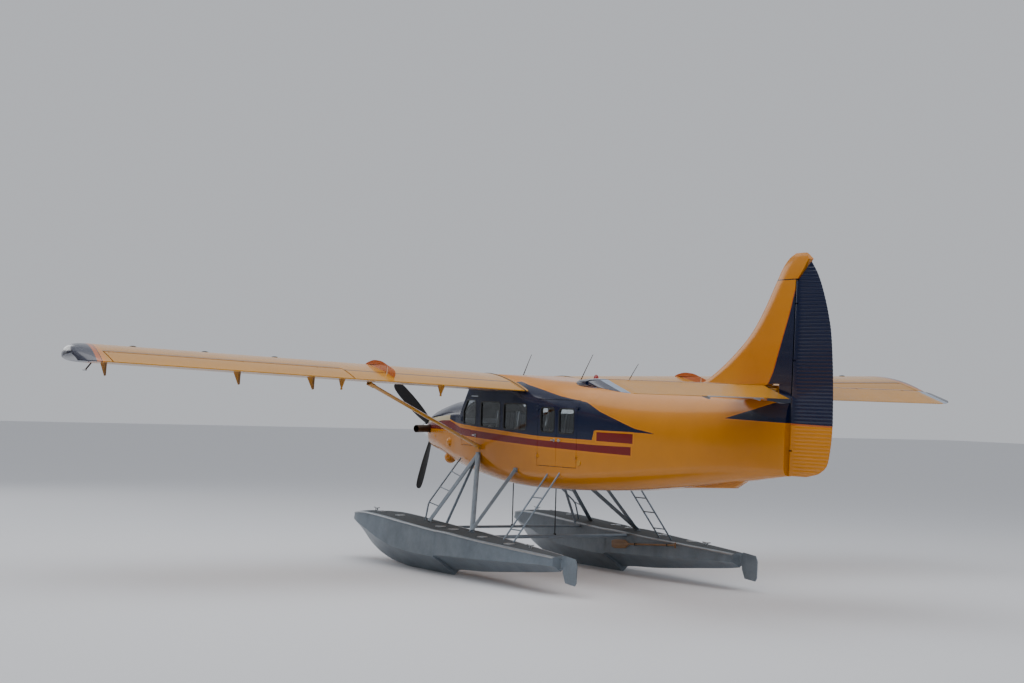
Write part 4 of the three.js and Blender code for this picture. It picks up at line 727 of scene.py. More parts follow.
def rudder_bar(top):
    """Room for the rudder's round nose up to a height."""
    return rod([(0, rudder_axis(z), z) for z in (-1.6, top)], RUDDER_NOSE + RUNNING, 32)


cone = carve(fuselage(CABIN_ROWS, np.linspace(CABIN_END_Y, 8.3, 110), arc=15),
             ("cut", rudder_bar(2.6), rudder_room(2.6, (FAR, 2.6), (FAR, -1.6))))
place("tail_cone", cone, livery, slot="tail_yellow")
strake = prism([(5.200, -1.470), (7.020, -1.384), (7.340, -1.240), (5.200, -1.400)], "x", -0.055, 0.055)
place("ventral_strake", strake, livery, slot="tail_yellow", bevel=0.02)

# Fin: a riveted fin with a long curved dorsal sweep, yellow ahead of its seam and navy behind.
FIN_ROWS = np.array([
    # height, leading edge, half thickness
    [-0.060, 5.300, 0.040], [0.030, 5.420, 0.046], [0.190, 6.010, 0.060], [0.340, 6.360, 0.066],
    [0.590, 6.800, 0.068], [0.960, 7.300, 0.068], [1.250, 7.560, 0.066], [1.760, 7.915, 0.058],
    [1.940, 8.040, 0.050], [2.080, 8.190, 0.036], [2.145, 8.330, 0.020],
])
FIN_SEAM = [(-0.30, 7.76), (0.18, 7.80), (0.40, 7.94), (0.84, 8.12), (1.25, 8.29), (1.74, 8.45), (1.88, 8.58),
            (2.30, 8.90)]
FIN_NOSE = 0.25
TAIL_Y, TAIL_HINGE_Y, TAIL_END_Y, TAIL_Z = 7.100, 7.800, 8.440, 0.135
TAIL_TIP_FROM, TAIL_TIP_X = 2.740, 3.220
TAIL_NOSE = 0.060


def two_faced(along, half):
    """Rings from their one face: out along it and back along its mirror image. Two coordinates come back."""
    return np.concatenate([along, along[:, :0:-1]], 1), np.concatenate([half, -half[:, :0:-1]], 1)


def stacked(stations, axis, *others):
    """Closed form of rings that each lie at one station of an axis, with the two other coordinates given."""
    rings = list(others)
    rings.insert("xyz".index(axis), np.broadcast_to(np.asarray(stations, float)[:, None], others[0].shape))
    return shell(np.stack(rings, -1))


def fin_form(heights):
    """The fin: half thickness is full * sqrt(1 - (1 - d)^2) over the first part of the chord, d the
    share of that part, and from there a straight taper to the rudder's own thickness."""
    leading, full = (column[:, None] for column in through(FIN_ROWS, heights).T)
    share = np.linspace(0, 1, 26) ** 1.8
    chord = (8.7 - np.maximum(0, heights - 2.04) * 1.2)[:, None] - leading
    d = np.clip(share * chord / np.minimum(FIN_NOSE, chord), 0, 1)
    half = full * np.sqrt(1 - (1 - d) ** 2) + (np.minimum(full, RUDDER_NOSE) - full) * share
    y, x = two_faced(leading + share * chord, half)
    return stacked(heights, "z", x, y)


def fin_paint():
    """Golden yellow enamel, navy aft of the seam, with a cap line across the top and rows of rivets."""
    material, tree, surface = new_material("aircraft_enamel_fin")
    _, (x, y, z) = datum_axes(tree)
    aft = compute("SUBTRACT", y, edge_line(z, FIN_SEAM, 7.7, 9.0))
    colour = paint_over(linear(YELLOW), linear(ORANGE), compute("GREATER_THAN", aft, -0.02))
    colour = paint_over(colour, linear(NAVY), compute("GREATER_THAN", aft, 0.0))
    colour = paint_over(colour, linear("#2c2010"), compute("LESS_THAN", away_from(z, 1.76), 0.008))
    enamel_finish(tree, surface, colour, rivets(y, compute("PINGPONG", z, 0.17)))
    return material


fin_enamel = fin_paint()
below_cap = rudder_room(1.74, (8.560, 1.885), (8.668, 2.040), (8.9, 2.06), (8.9, -1.6))
fin = carve(fin_form(np.concatenate([np.linspace(-0.06, 1.9, 70), np.linspace(1.92, 2.145, 16)])),
            ("cut", rudder_bar(1.76), below_cap,
             bar("x", (TAIL_HINGE_Y, TAIL_Z), -0.3, 0.3, TAIL_NOSE + RUNNING, 32),
             block(-0.3, 0.3, TAIL_HINGE_Y, TAIL_HINGE_Y + 0.28, TAIL_Z - 0.09, TAIL_Z + 0.084)))
place("fin", fin, fin_enamel, slot="tail_yellow")

# Rudder: a fluted rudder, its skin pressed into ribs that run fore and aft, navy above a low yellow
# panel. Its nose turns round the hinge line inside the fin's hollow edge.
RUDDER_ROWS = np.array([
    # height, trailing edge
    [-1.128, 8.700], [-1.070, 8.970], [-0.940, 9.150], [-0.800, 9.195], [-0.530, 9.238], [-0.340, 9.250],
    [0.320, 9.232], [0.610, 9.210], [0.960, 9.168], [1.290, 9.080], [1.610, 8.955], [1.840, 8.830], [2.000, 8.700],
])
RUDDER_TOP = [(8.0, 1.728), (8.452, 1.728), (8.586, 1.872), (8.76, 2.1), (8.76, 2.4), (8.0, 2.4)]
RUDDER_HINGES = (-0.760, 0.560, 1.400)
FLUTE_PITCH, FLUTE_DEPTH = 0.053, 0.0042
ARM_REACH, ARM_HALF = 0.13, 0.009


def fluted_leaf(at, axis, back, nose, end, count, thin):
    """Rings of a hinged tail surface: a quarter circle round the hinge, then a flat side to the thin trailing
    edge. From that goes the depth between pressed ribs, 1 - |cos| of half a turn per pitch."""
    t = np.linspace(np.pi, np.pi / 2, 9)[None]
    share = np.linspace(0, 1, count)[None, 1:]
    fade = np.clip((share - 0.10) / 0.05, 0, 1)
    flutes = FLUTE_DEPTH * (1 - np.abs(np.cos(np.pi * at[:, None] / FLUTE_PITCH))) * fade
    along = np.concatenate([axis + nose * np.cos(t) * thin, axis + (back - axis) * share], 1)
    half = np.concatenate([nose * np.sin(t) * thin, (nose + (end - nose) * share - flutes) * thin], 1)
    return two_faced(along, half)


def rudder_paint():
    """Navy enamel above a line, golden yellow below it, an orange line between them."""
    material, tree, surface = new_material("aircraft_enamel_rudder")
    _, (x, y, z) = datum_axes(tree)
    above = compute("SUBTRACT", z, edge_line(y, [(8.3, -0.357), (9.4, -0.380)]))
    colour = paint_over(linear(YELLOW), linear(ORANGE), compute("GREATER_THAN", above, -0.025))
    enamel_finish(tree, surface, paint_over(colour, linear(NAVY), compute("GREATER_THAN", above, 0.0)))
    return material


heights = np.concatenate([np.linspace(-1.128, 1.95, 465), [2.0]])
axis = rudder_axis(heights)[:, None]
back = np.maximum(through(RUDDER_ROWS, heights), axis + 0.09)
y, x = fluted_leaf(heights, axis, back, RUDDER_NOSE, 0.006, 24, np.ones_like(axis))
rudder = carve(stacked(heights, "z", x, y), ("cut", prism(RUDDER_TOP, "x", -0.3, 0.3), *[
    block(-0.1, 0.1, rudder_axis(z) - ARM_REACH, rudder_axis(z) + 0.034, z - ARM_HALF - SEAT, z + ARM_HALF + SEAT)
    for z in RUDDER_HINGES]))
place("rudder", rudder, rudder_paint(), "rudder_body", "tail_navy", sharp=50)
arms = [part for z in RUDDER_HINGES for part in (
    bar("z", (0, rudder_axis(z)), z - ARM_HALF, z + ARM_HALF, 0.024, 20),
    block(-0.014, 0.014, rudder_axis(z) - ARM_REACH, rudder_axis(z), z - ARM_HALF, z + ARM_HALF))]
place("rudder_hinge_arms", joined(*arms), fin_enamel)

# Tailplane and elevators: a two-spar tailplane with rounded navy tips; the elevators are fluted like
# the rudder, droop on their stop when parked, and turn as one on a tube through the fuselage.
ELEVATOR_INNER = 0.135
DROOP = math.radians(12)
TAIL_HINGES = (0.620, 1.650, 2.560)
TAIL_THICK = 0.1075
EYE_HALF = 0.008
SURFACE_YELLOW = "#c2860f"


def tip_round(x):
    """How far the outline is drawn in towards the tip, 1 - sqrt(1 - reach^2), the trailing edge that leaves,
    and what is left of the thickness."""
    reach = np.clip((np.abs(x) - TAIL_TIP_FROM) / (TAIL_TIP_X - TAIL_TIP_FROM), 0, 1)
    draw = np.minimum(1 - np.sqrt(1 - reach ** 2), 0.93)[:, None]
    return draw, TAIL_END_Y - 0.42 * draw, 1 - 0.8 * draw


def foil_half(share, thickness):
    """Half thickness of a symmetrical section as a share of its chord: the four-digit series polynomial."""
    return 5 * thickness * (0.2969 * np.sqrt(share) - 0.126 * share - 0.3516 * share ** 2
                            + 0.2843 * share ** 3 - 0.1015 * share ** 4)


def cosine(count):
    """Numbers from 0 to 1, closer together towards both ends."""
    return (1 - np.cos(np.linspace(0, np.pi, count))) / 2


def turned_about(form, y, z, angle):
    """The form turned about a line across the aircraft through y, z."""
    def turn(points):
        along, up = points[:, 1] - y, points[:, 2] - z
        cos, sin = math.cos(angle), math.sin(angle)
        return np.stack([points[:, 0], along * cos - up * sin + y, along * sin + up * cos + z], 1)
    return changed(form, turn)


def eyes(places, y, z, radius, reach, sides):
    """Hinge eyes: a round eye across the aircraft with a lug ahead of it."""
    return [part for x in places for part in (
        bar("x", (y, z), x - EYE_HALF, x + EYE_HALF, radius, sides),
        block(x - EYE_HALF, x + EYE_HALF, y - reach, y, z - 0.014, z + 0.014))]


def slots(places, *limits):
    """Cuts in a control surface that clear the hinge eyes."""
    return [block(x - EYE_HALF - SEAT, x + EYE_HALF + SEAT, *limits) for x in places]


def surface_paint(name, bands, rows, span_pitch=0.3, slant=0.0, joints=()):
    """Golden yellow enamel with coloured tips: bands lists the distances out at which the next colour starts,
    less slant times y. Rows of rivets run along the span at the stations given and across it at each rib.
    The last argument lists start and end out and the station of a soft dark line of painted shade, where a surface is
    hinged and its gap falls into shadow."""
    material, tree, surface = new_material(name)
    _, (x, y, z) = datum_axes(tree)
    span = compute("ABSOLUTE", x)
    out = compute("MULTIPLY_ADD", y, -slant, span)
    colour = linear(SURFACE_YELLOW)
    # Painted shade: a soft dark brown band along each hinge gap.
    for start, end, line in joints:
        shade_strength = add_node(tree, "MapRange", {"Value": away_from(y, line), "From Max": 0.05, "To Min": 0.75,
                                           "To Max": 0.0}, interpolation_type="SMOOTHSTEP")
        inside = compute("LESS_THAN", away_from(span, (start + end) / 2), (end - start) / 2)
        colour = paint_over(colour, linear("#3a240e"), compute("MULTIPLY", shade_strength, inside))
    for start, shade in bands:
        colour = paint_over(colour, linear(shade), compute("GREATER_THAN", out, start))
    relief = rivets(y, compute("PINGPONG", x, span_pitch / 2))
    for row in rows:
        away = away_from(y, row)
        lap = compute("LESS_THAN", away_from(away, 0.03), 0.002)
        relief = compute("SUBTRACT", compute("MAXIMUM", relief, rivets(x, away)), lap)
    enamel_finish(tree, surface, colour, relief)
    return material


# The pale blue-grey band from 2.90 to 3.03 out is a painted reflection of the sky on the navy tip paint.
tail_enamel = surface_paint("aircraft_enamel_tailplane", [(2.90, "#8f9fb4"), (3.03, NAVY)], [7.22, 7.66])
tip = -TAIL_TIP_X + 0.48 * (1 - np.cos(np.linspace(0, np.pi / 2, 14)))
stations = np.concatenate([tip, np.linspace(-2.7, 2.7, 24), -tip[::-1]])
draw, trailing, thin = tip_round(stations)
share = cosine(30)
leading = TAIL_Y + 0.56 * draw
y, z = two_faced(leading + share * (trailing - leading),
                 (foil_half(share, TAIL_THICK) * (TAIL_END_Y - TAIL_Y) + 0.004 * share) * thin)
tailplane = carve(stacked(stations, "x", y, z + TAIL_Z),
                  ("cut", bar("x", (TAIL_HINGE_Y, TAIL_Z), -3.3, 3.3, TAIL_NOSE + RUNNING, 32),
                   block(-3.3, 3.3, TAIL_HINGE_Y - GAP_AHEAD, FAR, -0.2, 0.5)))
place("tailplane", tailplane, tail_enamel, slot="tail_yellow")
place("elevator_hinge_eyes", joined(*eyes([side * x for x in TAIL_HINGES for side in (1, -1)], TAIL_HINGE_Y, TAIL_Z,
                                          0.024, 0.09, 16)), tail_enamel)
spans = np.concatenate([np.linspace(ELEVATOR_INNER, TAIL_TIP_FROM, 300),
                        TAIL_TIP_FROM + 0.48 * np.sin(np.linspace(0.05, np.pi / 2, 18))])
_, trailing, thin = tip_round(spans)
y, z = fluted_leaf(spans, TAIL_HINGE_Y, trailing, TAIL_NOSE, 0.005, 26, thin)
elevator = carve(stacked(spans, "x", y, z + TAIL_Z),
                 ("cut", *slots(TAIL_HINGES, TAIL_HINGE_Y - 0.09, TAIL_HINGE_Y + 0.034, 0, 0.3)))
drooped = turned_about(elevator, TAIL_HINGE_Y, TAIL_Z, -DROOP)
both("elevator", drooped, tail_enamel, "elevator_body", slot="tail_yellow", sharp=50)
tube = bar("x", (TAIL_HINGE_Y, TAIL_Z), -ELEVATOR_INNER - 0.001, ELEVATOR_INNER + 0.001, 0.02)
place("elevator_tube", tube, tail_enamel, "elevator_body")


# Wings: a constant-chord riveted wing each side with a slotted flap and a slotted aileron, built up of
# painted aluminium sheet on ribs and spars and tilted up by the dihedral about the centreline.
CHORD = 1.980
ROOT_X, TIP_JOINT, TIP_X = 0.690, 8.210, 8.600
DIHEDRAL = math.radians(1.815)
CAMBER, CAMBER_AT = 0.04, 0.4
WING_THICK = 0.155
LEADING_Z = 0.105
FLAP_FROM, FLAP_TO, FLAP_NOSE_Y, SHROUD_Y = 0.860, 4.060, 1.375, 1.530
FLAP_NOSE = ((0.003, 0.045), (0.010, 0.066), (0.025, 0.088), (0.045, 0.104))
FLAP_AXIS_Y, FLAP_AXIS_Z = 1.360, -0.165
FLAP_BRACKETS = (2.130, 4.020)
AILERON_FROM, AILERON_TO, AILERON_NOSE = 4.085, 8.190, 0.080
AILERON_Y, AILERON_Z = 1.480, 0.082
AILERON_HINGES = (4.550, 5.870, 8.120)
BAY_END = FLAP_TO + 0.012
TIP_SLANT = 0.152
TIP_BANDS = [(7.99, GOLD), (8.055, "#1c1310"), (8.068, ORANGE), (8.135, NAVY)]
# Soft dark lines of painted shade along the flap's and aileron's hinge gaps: start and end out, and station.
GAP_SHADE_LINES = [(FLAP_FROM, FLAP_TO, SHROUD_Y + 0.004), (AILERON_FROM, AILERON_TO, AILERON_Y - AILERON_NOSE - 0.004)]


def wing_line(share):
    """Height of the section's middle line: a parabola up to the highest camber and another one aft of it,
    on a chord that falls from the leading edge's height to zero."""
    fore = (CAMBER / CAMBER_AT ** 2) * (2 * CAMBER_AT * share - share ** 2)
    aft = (CAMBER / (1 - CAMBER_AT) ** 2) * (1 - 2 * CAMBER_AT + 2 * CAMBER_AT * share - share ** 2)
    return LEADING_Z * (1 - share) + CHORD * np.where(share < CAMBER_AT, fore, aft)


def wing_top(share, way=1):
    """Height of the wing's upper skin, or with -1 of its lower one; the trailing edge is blunt."""
    return wing_line(share) + way * CHORD * (foil_half(share, WING_THICK) + 0.002 * share)


def flap_region(start, end, clear):
    """Everything aft of the flap's curved nose, grown ahead and above by a clearance."""
    nose = [(FLAP_NOSE_Y + aft - clear, z + clear) for aft, z in FLAP_NOSE]
    return prism([(FLAP_NOSE_Y + 0.015 - clear, -0.3), (FLAP_NOSE_Y - clear, 0.020), *nose,
                  (SHROUD_Y - 0.050, 0.128 + clear), (SHROUD_Y, 0.140 + clear), (SHROUD_Y + 0.008 - clear, 0.5),
                  (FAR, 0.5), (FAR, -0.3)], "x", start, end)


def raised(side, form):
    """The form tilted up about the centreline by the wing's dihedral, and mirrored to its side."""
    def tilt(points):
        x, y, z = points.T
        cos, sin = math.cos(DIHEDRAL), math.sin(DIHEDRAL)
        return np.stack([side * (x * cos - z * sin), y, x * sin + z * cos], 1)
    return changed(form, tilt, side < 0)


wing_enamel = surface_paint("aircraft_enamel_wing", TIP_BANDS, [0.34, 0.80, 1.28], 0.46, TIP_SLANT, GAP_SHADE_LINES)
share = cosine(44)
upper, lower = (np.stack([share * CHORD, wing_top(share, way)], 1) for way in (1, -1))
section = np.concatenate([upper, lower[:0:-1]])
wing_skin = carve(prism(section, "x", ROOT_X, TIP_JOINT), (
    "cut", flap_region(FLAP_FROM - RUNNING, BAY_END + 0.0005, RUNNING),
    bar("x", (AILERON_Y, AILERON_Z), BAY_END, TIP_JOINT + 0.010, AILERON_NOSE + RUNNING, 40),
    block(BAY_END, TIP_JOINT + 0.010, AILERON_Y - 0.034, FAR, -0.3, 0.5)))
flap = carve(prism(section, "x", FLAP_FROM, FLAP_TO), ("keep", flap_region(FLAP_FROM - 0.001, FLAP_TO + 0.001, 0)))
aileron_region = carve(bar("x", (AILERON_Y, AILERON_Z), AILERON_FROM, AILERON_TO, AILERON_NOSE, 40),
                       ("add", block(AILERON_FROM, AILERON_TO, AILERON_Y, FAR, -0.3, 0.5)))
aileron = carve(prism(section, "x", AILERON_FROM, AILERON_TO), ("keep", aileron_region),
                ("cut", *slots(AILERON_HINGES, AILERON_Y - 0.13, AILERON_Y + 0.036, -0.2, 0.4)))

# Wing tip: a moulded cap whose section is drawn in towards a blunt, rounded end a little aft of its middle.
TIP_CENTRE = 0.62 * CHORD
TIP_ROWS = np.array([
    # share of the way out, chord left, thickness left
    [0.00, 1.000, 1.00], [0.30, 0.965, 0.97], [0.56, 0.890, 0.88], [0.77, 0.760, 0.72], [0.92, 0.560, 0.50],
    [1.00, 0.320, 0.22],
])
out = np.sin(np.linspace(0, np.pi / 2, 30))
chord_left, thick_left = through(TIP_ROWS, out).T[:, :, None]
y, z = section.T
line = wing_line(np.clip(y / CHORD, 0, 1))
wing_tip = stacked(TIP_JOINT + SEAT + out * (TIP_X - TIP_JOINT - SEAT), "x",
                   TIP_CENTRE + (y - TIP_CENTRE) * chord_left, line + (z - line) * thick_left)

# Flap carriers of steel plate, hinge eyes, and the orange sheet fence over the strut's head, which is cut
# at the flap: its aft part stands on the flap and swings with it.
FENCE_X, FENCE_HALF, FENCE_FOOT = 3.270, 0.004, 0.007
FENCE_EDGE = np.array([
    # share of the way, y, z
    [0.00, 0.640, 0.268], [0.12, 0.700, 0.310], [0.25, 0.830, 0.347], [0.42, 1.030, 0.370], [0.58, 1.260, 0.353],
    [0.75, 1.514, 0.288], [0.87, 1.726, 0.226], [0.94, 1.825, 0.178], [0.98, 1.845, 0.120], [1.00, 1.800, 0.060],
])


def fence_part(start, end):
    """Plate from the fence's upper edge down to just under the wing's upper skin."""
    edge = through(FENCE_EDGE, np.linspace(0, 1, 401))
    edge = edge[(edge[:, 0] > start) & (edge[:, 0] < end)]
    y = np.linspace(edge[-1, 0], edge[0, 0], 30)[1:-1]
    foot = np.stack([y, wing_top(y / CHORD) - FENCE_FOOT], 1)
    return prism(np.concatenate([edge, foot]), "x", FENCE_X - FENCE_HALF, FENCE_X + FENCE_HALF)


fence_enamel, tree, surface = new_material("aircraft_enamel_orange")
enamel_finish(tree, surface, linear(ORANGE))
pin = (FLAP_AXIS_Y, FLAP_AXIS_Z)
carrier = [(1.205, 0.030), (1.345, 0.020), (pin[0] + 0.014, pin[1] - 0.014), (pin[0] - 0.014, pin[1] - 0.014)]
arm = [(FLAP_NOSE_Y + 0.030, 0.030), (FLAP_NOSE_Y + 0.150, 0.022), carrier[2], (pin[0] - 0.010, pin[1] + 0.008)]
carriers = [part for x in FLAP_BRACKETS for part in (
    prism(carrier, "x", x - 0.012, x), bar("x", pin, x - 0.012, x, 0.02, 20))]
arms = [part for x in FLAP_BRACKETS for part in (
    prism(arm, "x", x + SEAT, x + 0.0123), bar("x", pin, x + SEAT, x + 0.0123, 0.02, 20))]
carriers += eyes(AILERON_HINGES, AILERON_Y, AILERON_Z, 0.026, 0.13, 20)
carriers += [prism([(1.090, 0.030), (1.420, 0.022), (1.405, -0.205), (1.360, -0.215)], "x", x - 0.009, x + 0.009)
             for x in AILERON_HINGES]
ON_FLAP = "flap_{}_body"
both("wing", wing_skin, wing_enamel, lay=raised, slot="yellow_paint")
both("wing_fence", fence_part(0, SHROUD_Y - 0.001), fence_enamel, lay=raised, bevel=0.002)
both("flap_fence", fence_part(SHROUD_Y + 0.005, FAR), fence_enamel, ON_FLAP, raised, bevel=0.002)
both("wing_brackets", joined(*carriers), wing_enamel, lay=raised, bevel=0.002)
both("flap", flap, wing_enamel, ON_FLAP, raised, slot="yellow_paint")
both("flap_arms", joined(*arms), wing_enamel, ON_FLAP, raised, bevel=0.002)
both("aileron", aileron, wing_enamel, "aileron_{}_body", raised, slot="yellow_paint")
both("wing_tip", wing_tip, wing_enamel, lay=raised, slot="navy_paint")

# Wing struts: streamlined aluminium tube from a bolted steel fitting low on the cabin to a fitting under
# the wing, with a slim collar where the strut enters each of them.
STRUT_FOOT = np.array([0.812, 0.430, -1.000])
STRUT_SPAN = np.array([3.200, 0.640, 0.093]) - STRUT_FOOT
STRUT_CHORD, STRUT_THICK = 0.150, 0.062
STRUT_PARTS = [
    # share of the way it starts and ends at, how much wider and thicker: the strut and its two collars
    (-0.012, 0.985, 0, 0), (0.02, 0.05, 0.014, 0.014), (0.94, 0.985, 0.016, 0.018),
]


def streamline(start, end, chord, thickness, count=16):
    """Streamlined bar: the section's half thickness follows the symmetrical foil, its nose forward."""
    start, end = np.asarray(start, float), np.asarray(end, float)
    along = (end - start) / np.linalg.norm(end - start)
    across = np.array([0, 1.0, 0]) - along[1] * along
    across /= np.linalg.norm(across)
    share = cosine(count)[None]
    fore, half = two_faced((share - 0.45) * chord, foil_half(share, 1.0) * thickness + 0.002 * share)
    ring = fore.T * across + half.T * np.cross(along, across)
    return shell(np.stack([start + ring, end + ring]))


def bolt(at, radius, rise):
    """Hexagon head of a bolt that stands out fore and aft."""
    return rod([at - np.array([0, rise, 0]), at + np.array([0, rise, 0])], radius, 6, wide=(0, 0, 1))


strut_enamel = surface_paint("aircraft_enamel_strut", [], [], 4.0)
strut = joined(*[streamline(STRUT_FOOT + start * STRUT_SPAN, STRUT_FOOT + end * STRUT_SPAN, STRUT_CHORD + wider,
                            STRUT_THICK + thicker)
                 for start, end, wider, thicker in STRUT_PARTS],
               block(0.782, 0.872, 0.370, 0.500, -1.050, -0.960))
strut_bolts = [bolt(np.array([0.842, y, z]), 0.013, 0.008) for y in (0.370, 0.500) for z in (-1.025, -0.985)]
both("wing_strut", strut, strut_enamel, slot="yellow_paint")
both("wing_strut_bolts", joined(*strut_bolts), bare_metal)



# Cowling: two halves of formed aluminium sheet, navy above its own seam line and yellow below, with a
# chin intake, exhaust cut-outs and round blisters on each side.
COWL_SKIN = 0.022
COWL_SEAM = 0.00015
PROP_Y, PROP_Z, BLADES, FIRST_ANGLE = -2.880, -0.745, 3, math.radians(-75.5)
COWL_ROWS = np.array([
    # in the same columns as the cabin's
    [-2.720, 0.205, -1.035, -0.520, 0.190, 0.195, 0.190], [-2.660, 0.245, -1.080, -0.487, 0.215, 0.230, 0.215],
    [-2.540, 0.305, -1.115, -0.435, 0.240, 0.285, 0.240], [-2.250, 0.405, -1.145, -0.360, 0.260, 0.350, 0.290],
    [-1.800, 0.505, -1.195, -0.270, 0.260, 0.405, 0.330], [-1.300, 0.585, -1.285, -0.190, 0.250, 0.450, 0.340],
    [-0.7998, 0.650, -1.375, -0.150, 0.230, 0.480, 0.340],
])
EXHAUST_Y, EXHAUST_Z = -2.330, -0.742
INTAKE = [(-0.105, -1.000), (0.105, -1.000), (0.125, -0.955), (0.105, -0.930), (-0.105, -0.930), (-0.125, -0.955)]
BLISTERS = [
    # middle, radius, share of it kept across the aircraft
    ((0.470, -1.890, -0.880), 0.045, 0.65), ((0.598, -1.080, -0.966), 0.095, 0.65),
    ((0.410, -1.390, -1.262), 0.115, 1.0),
]
STUD_PITCH, STUD_RADIUS = 0.14, 0.009
SHAFT = (0, PROP_Z)


def ball(middle, radii, rings=14, sides=24):
    """Ellipsoid: middle + (a cos u cos v, b sin u, c cos u sin v) for angles u from end to end and v round it."""
    u = np.linspace(-np.pi / 2 + 0.02, np.pi / 2 - 0.02, rings)[:, None]
    v = np.linspace(0, 2 * np.pi, sides, endpoint=False)[None]
    ring = np.stack([np.cos(u) * np.cos(v), np.broadcast_to(np.sin(u), (rings, sides)), np.cos(u) * np.sin(v)], -1)
    return shell(ring * radii + np.asarray(middle))


cowl_stations = np.concatenate([np.linspace(-2.72, -2.5, 16), np.linspace(-2.45, -0.7998, 44)])
cowl_inner = np.concatenate([[-2.70], cowl_stations[4:-1], [-0.79]])
exhaust_holes = [rod([(side * 0.25, EXHAUST_Y, EXHAUST_Z), (side * 0.6, EXHAUST_Y + 0.02, EXHAUST_Z)], 0.095, 28)
                 for side in (1, -1)]
cowl = carve(fuselage(COWL_ROWS, cowl_stations, arc=13), (
    "cut", fuselage(COWL_ROWS, cowl_inner, COWL_SKIN, arc=13), bar("y", SHAFT, -2.8, -2.6, 0.125, 40),
    *exhaust_holes, prism(rounded(INTAKE, 0.012, 4), "y", -2.8, -2.64)))
blisters = [on_side(side, ball(middle, (radius * across, radius, radius)))
            for middle, radius, across in BLISTERS for side in (1, -1)]
cowl_upper = carve(cowl, ("keep", region(z=(PROP_Z + COWL_SEAM, FAR))))
cowl_lower = carve(cowl, ("keep", region(z=(-FAR, PROP_Z - COWL_SEAM))), ("add", *blisters))
place("cowl_upper", cowl_upper, livery, slot="navy_paint")
place("cowl_lower", cowl_lower, livery, slot="yellow_paint")
studs = []
for y in np.arange(-2.10, -0.84, STUD_PITCH):
    side_x = through(COWL_ROWS, [y])[0, 0]
    studs += [on_side(side, bar("x", (y, PROP_Z + off), side_x - 0.003, side_x + 0.0025, STUD_RADIUS, 12))
              for off in (0.035, -0.035) for side in (1, -1)]
place("cowl_fasteners", joined(*studs), bare_metal)

# Engine, gear case, shaft and mount tubes behind the cowl, with a bent stainless exhaust stub each side.
# Heat has stained the steel brown; the stubs are rolled tube with an open mouth.
dark_steel = coat("heat_stained_stainless_steel", "#2a2422", "#5d4a3c", 9.0, 0.48, 0.2, 0.001, 5.0, Metallic=0.85)
STUB_RADIUS, STUB_WALL, STUB_SIDES = 0.072, 0.006, 24
MOUNT_RADIUS = 0.018
root, elbow, mouth = (np.array([0, EXHAUST_Y, EXHAUST_Z]) + move
                      for move in ((0.180, 0, 0), (0.395, 0, 0), (0.735, 0.115, -0.008)))
s = np.linspace(0, 1, 14)[:, None]
bend = ((1 - s) ** 2 * (elbow + 0.35 * (root - elbow)) + 2 * s * (1 - s) * elbow
        + s ** 2 * (elbow + 0.3 * (mouth - elbow)))
pipe_path = np.concatenate([[root], bend, [mouth]])
# The outer tube runs out to the lip and comes back inside as the bore.
outer, bore = (rod(pipe_path, radius, STUB_SIDES, wide=(0, 0, 1))[0].reshape(len(pipe_path), STUB_SIDES, 3)
               for radius in (STUB_RADIUS, STUB_RADIUS - STUB_WALL))
stub = shell(np.concatenate([outer, bore[:0:-1]]))
mounts = [rod([(sx * 0.150, -1.450, PROP_Z + sz * 0.120), (sx * 0.330, -0.8295, PROP_Z - 0.060 + sz * 0.260)],
              MOUNT_RADIUS, 10) for sx in (1, -1) for sz in (1, -1)]
engine = joined(*[bar("y", SHAFT, start, end, radius, 24) for start, end, radius in (
    (-2.5, -1.4, 0.235), (-2.7, -2.499, 0.15), (PROP_Y + 0.062, -2.699, 0.06))],
    *mounts, *[on_side(side, stub) for side in (1, -1)])
place("engine", engine, dark_steel, slot="engine_metal")

# Propeller: three forged aluminium blades painted matt black, clamped in a steel hub, behind a spinner
# spun from aluminium sheet and polished.
BLADE_ROWS = np.array([
    # distance out, chord, thickness, twist in degrees
    [0.095, 0.096, 0.084, 60], [0.230, 0.150, 0.060, 50], [0.420, 0.200, 0.040, 40], [0.700, 0.218, 0.027, 31],
    [0.980, 0.205, 0.019, 25], [1.140, 0.172, 0.013, 21], [1.205, 0.118, 0.010, 20], [1.225, 0.060, 0.008, 20],
])
matt_black = coat("matt_black_blade_paint", "#0c0c0e", "#26262a", 14.0, 0.5)
polished = metal("polished_aluminium", "#d3d5d8", 40.0, 4.0, 0.08, 0.22)


def blade(angle):
    """A twisted blade: at each distance out a flattened ellipse of the row's chord and thickness, turned
    by the row's twist from the plane of the disc."""
    reach = np.concatenate([np.linspace(0.095, 1.14, 30), [1.165, 1.185, 1.205, 1.217, 1.225]])
    chord, thickness, twist = through(BLADE_ROWS, reach).T[:, :, None, None]
    twist = np.radians(twist)
    out, side = np.array([math.cos(angle), 0, math.sin(angle)]), np.array([-math.sin(angle), 0, math.cos(angle)])
    fore = np.array([0, 1.0, 0])
    wide, thin = side * np.cos(twist) + fore * np.sin(twist), fore * np.cos(twist) - side * np.sin(twist)
    t = np.linspace(0, 2 * np.pi, 24, endpoint=False)[None, :, None]
    ring = wide * (chord / 2) * np.cos(t) + thin * (thickness / 2) * np.sin(t)
    return shell(reach[:, None, None] * out + ring + (0, PROP_Y, PROP_Z))


def turned(profile, sides=48):
    """Surface of revolution about the propeller's axis of points (radius, distance ahead)."""
    t = np.linspace(0, 2 * np.pi, sides, endpoint=False)
    radius, ahead = np.asarray(profile, float).T[:, :, None]
    ahead = np.broadcast_to(PROP_Y - ahead, (len(profile), sides))
    return shell(np.stack([radius * np.cos(t), ahead, PROP_Z + radius * np.sin(t)], -1))


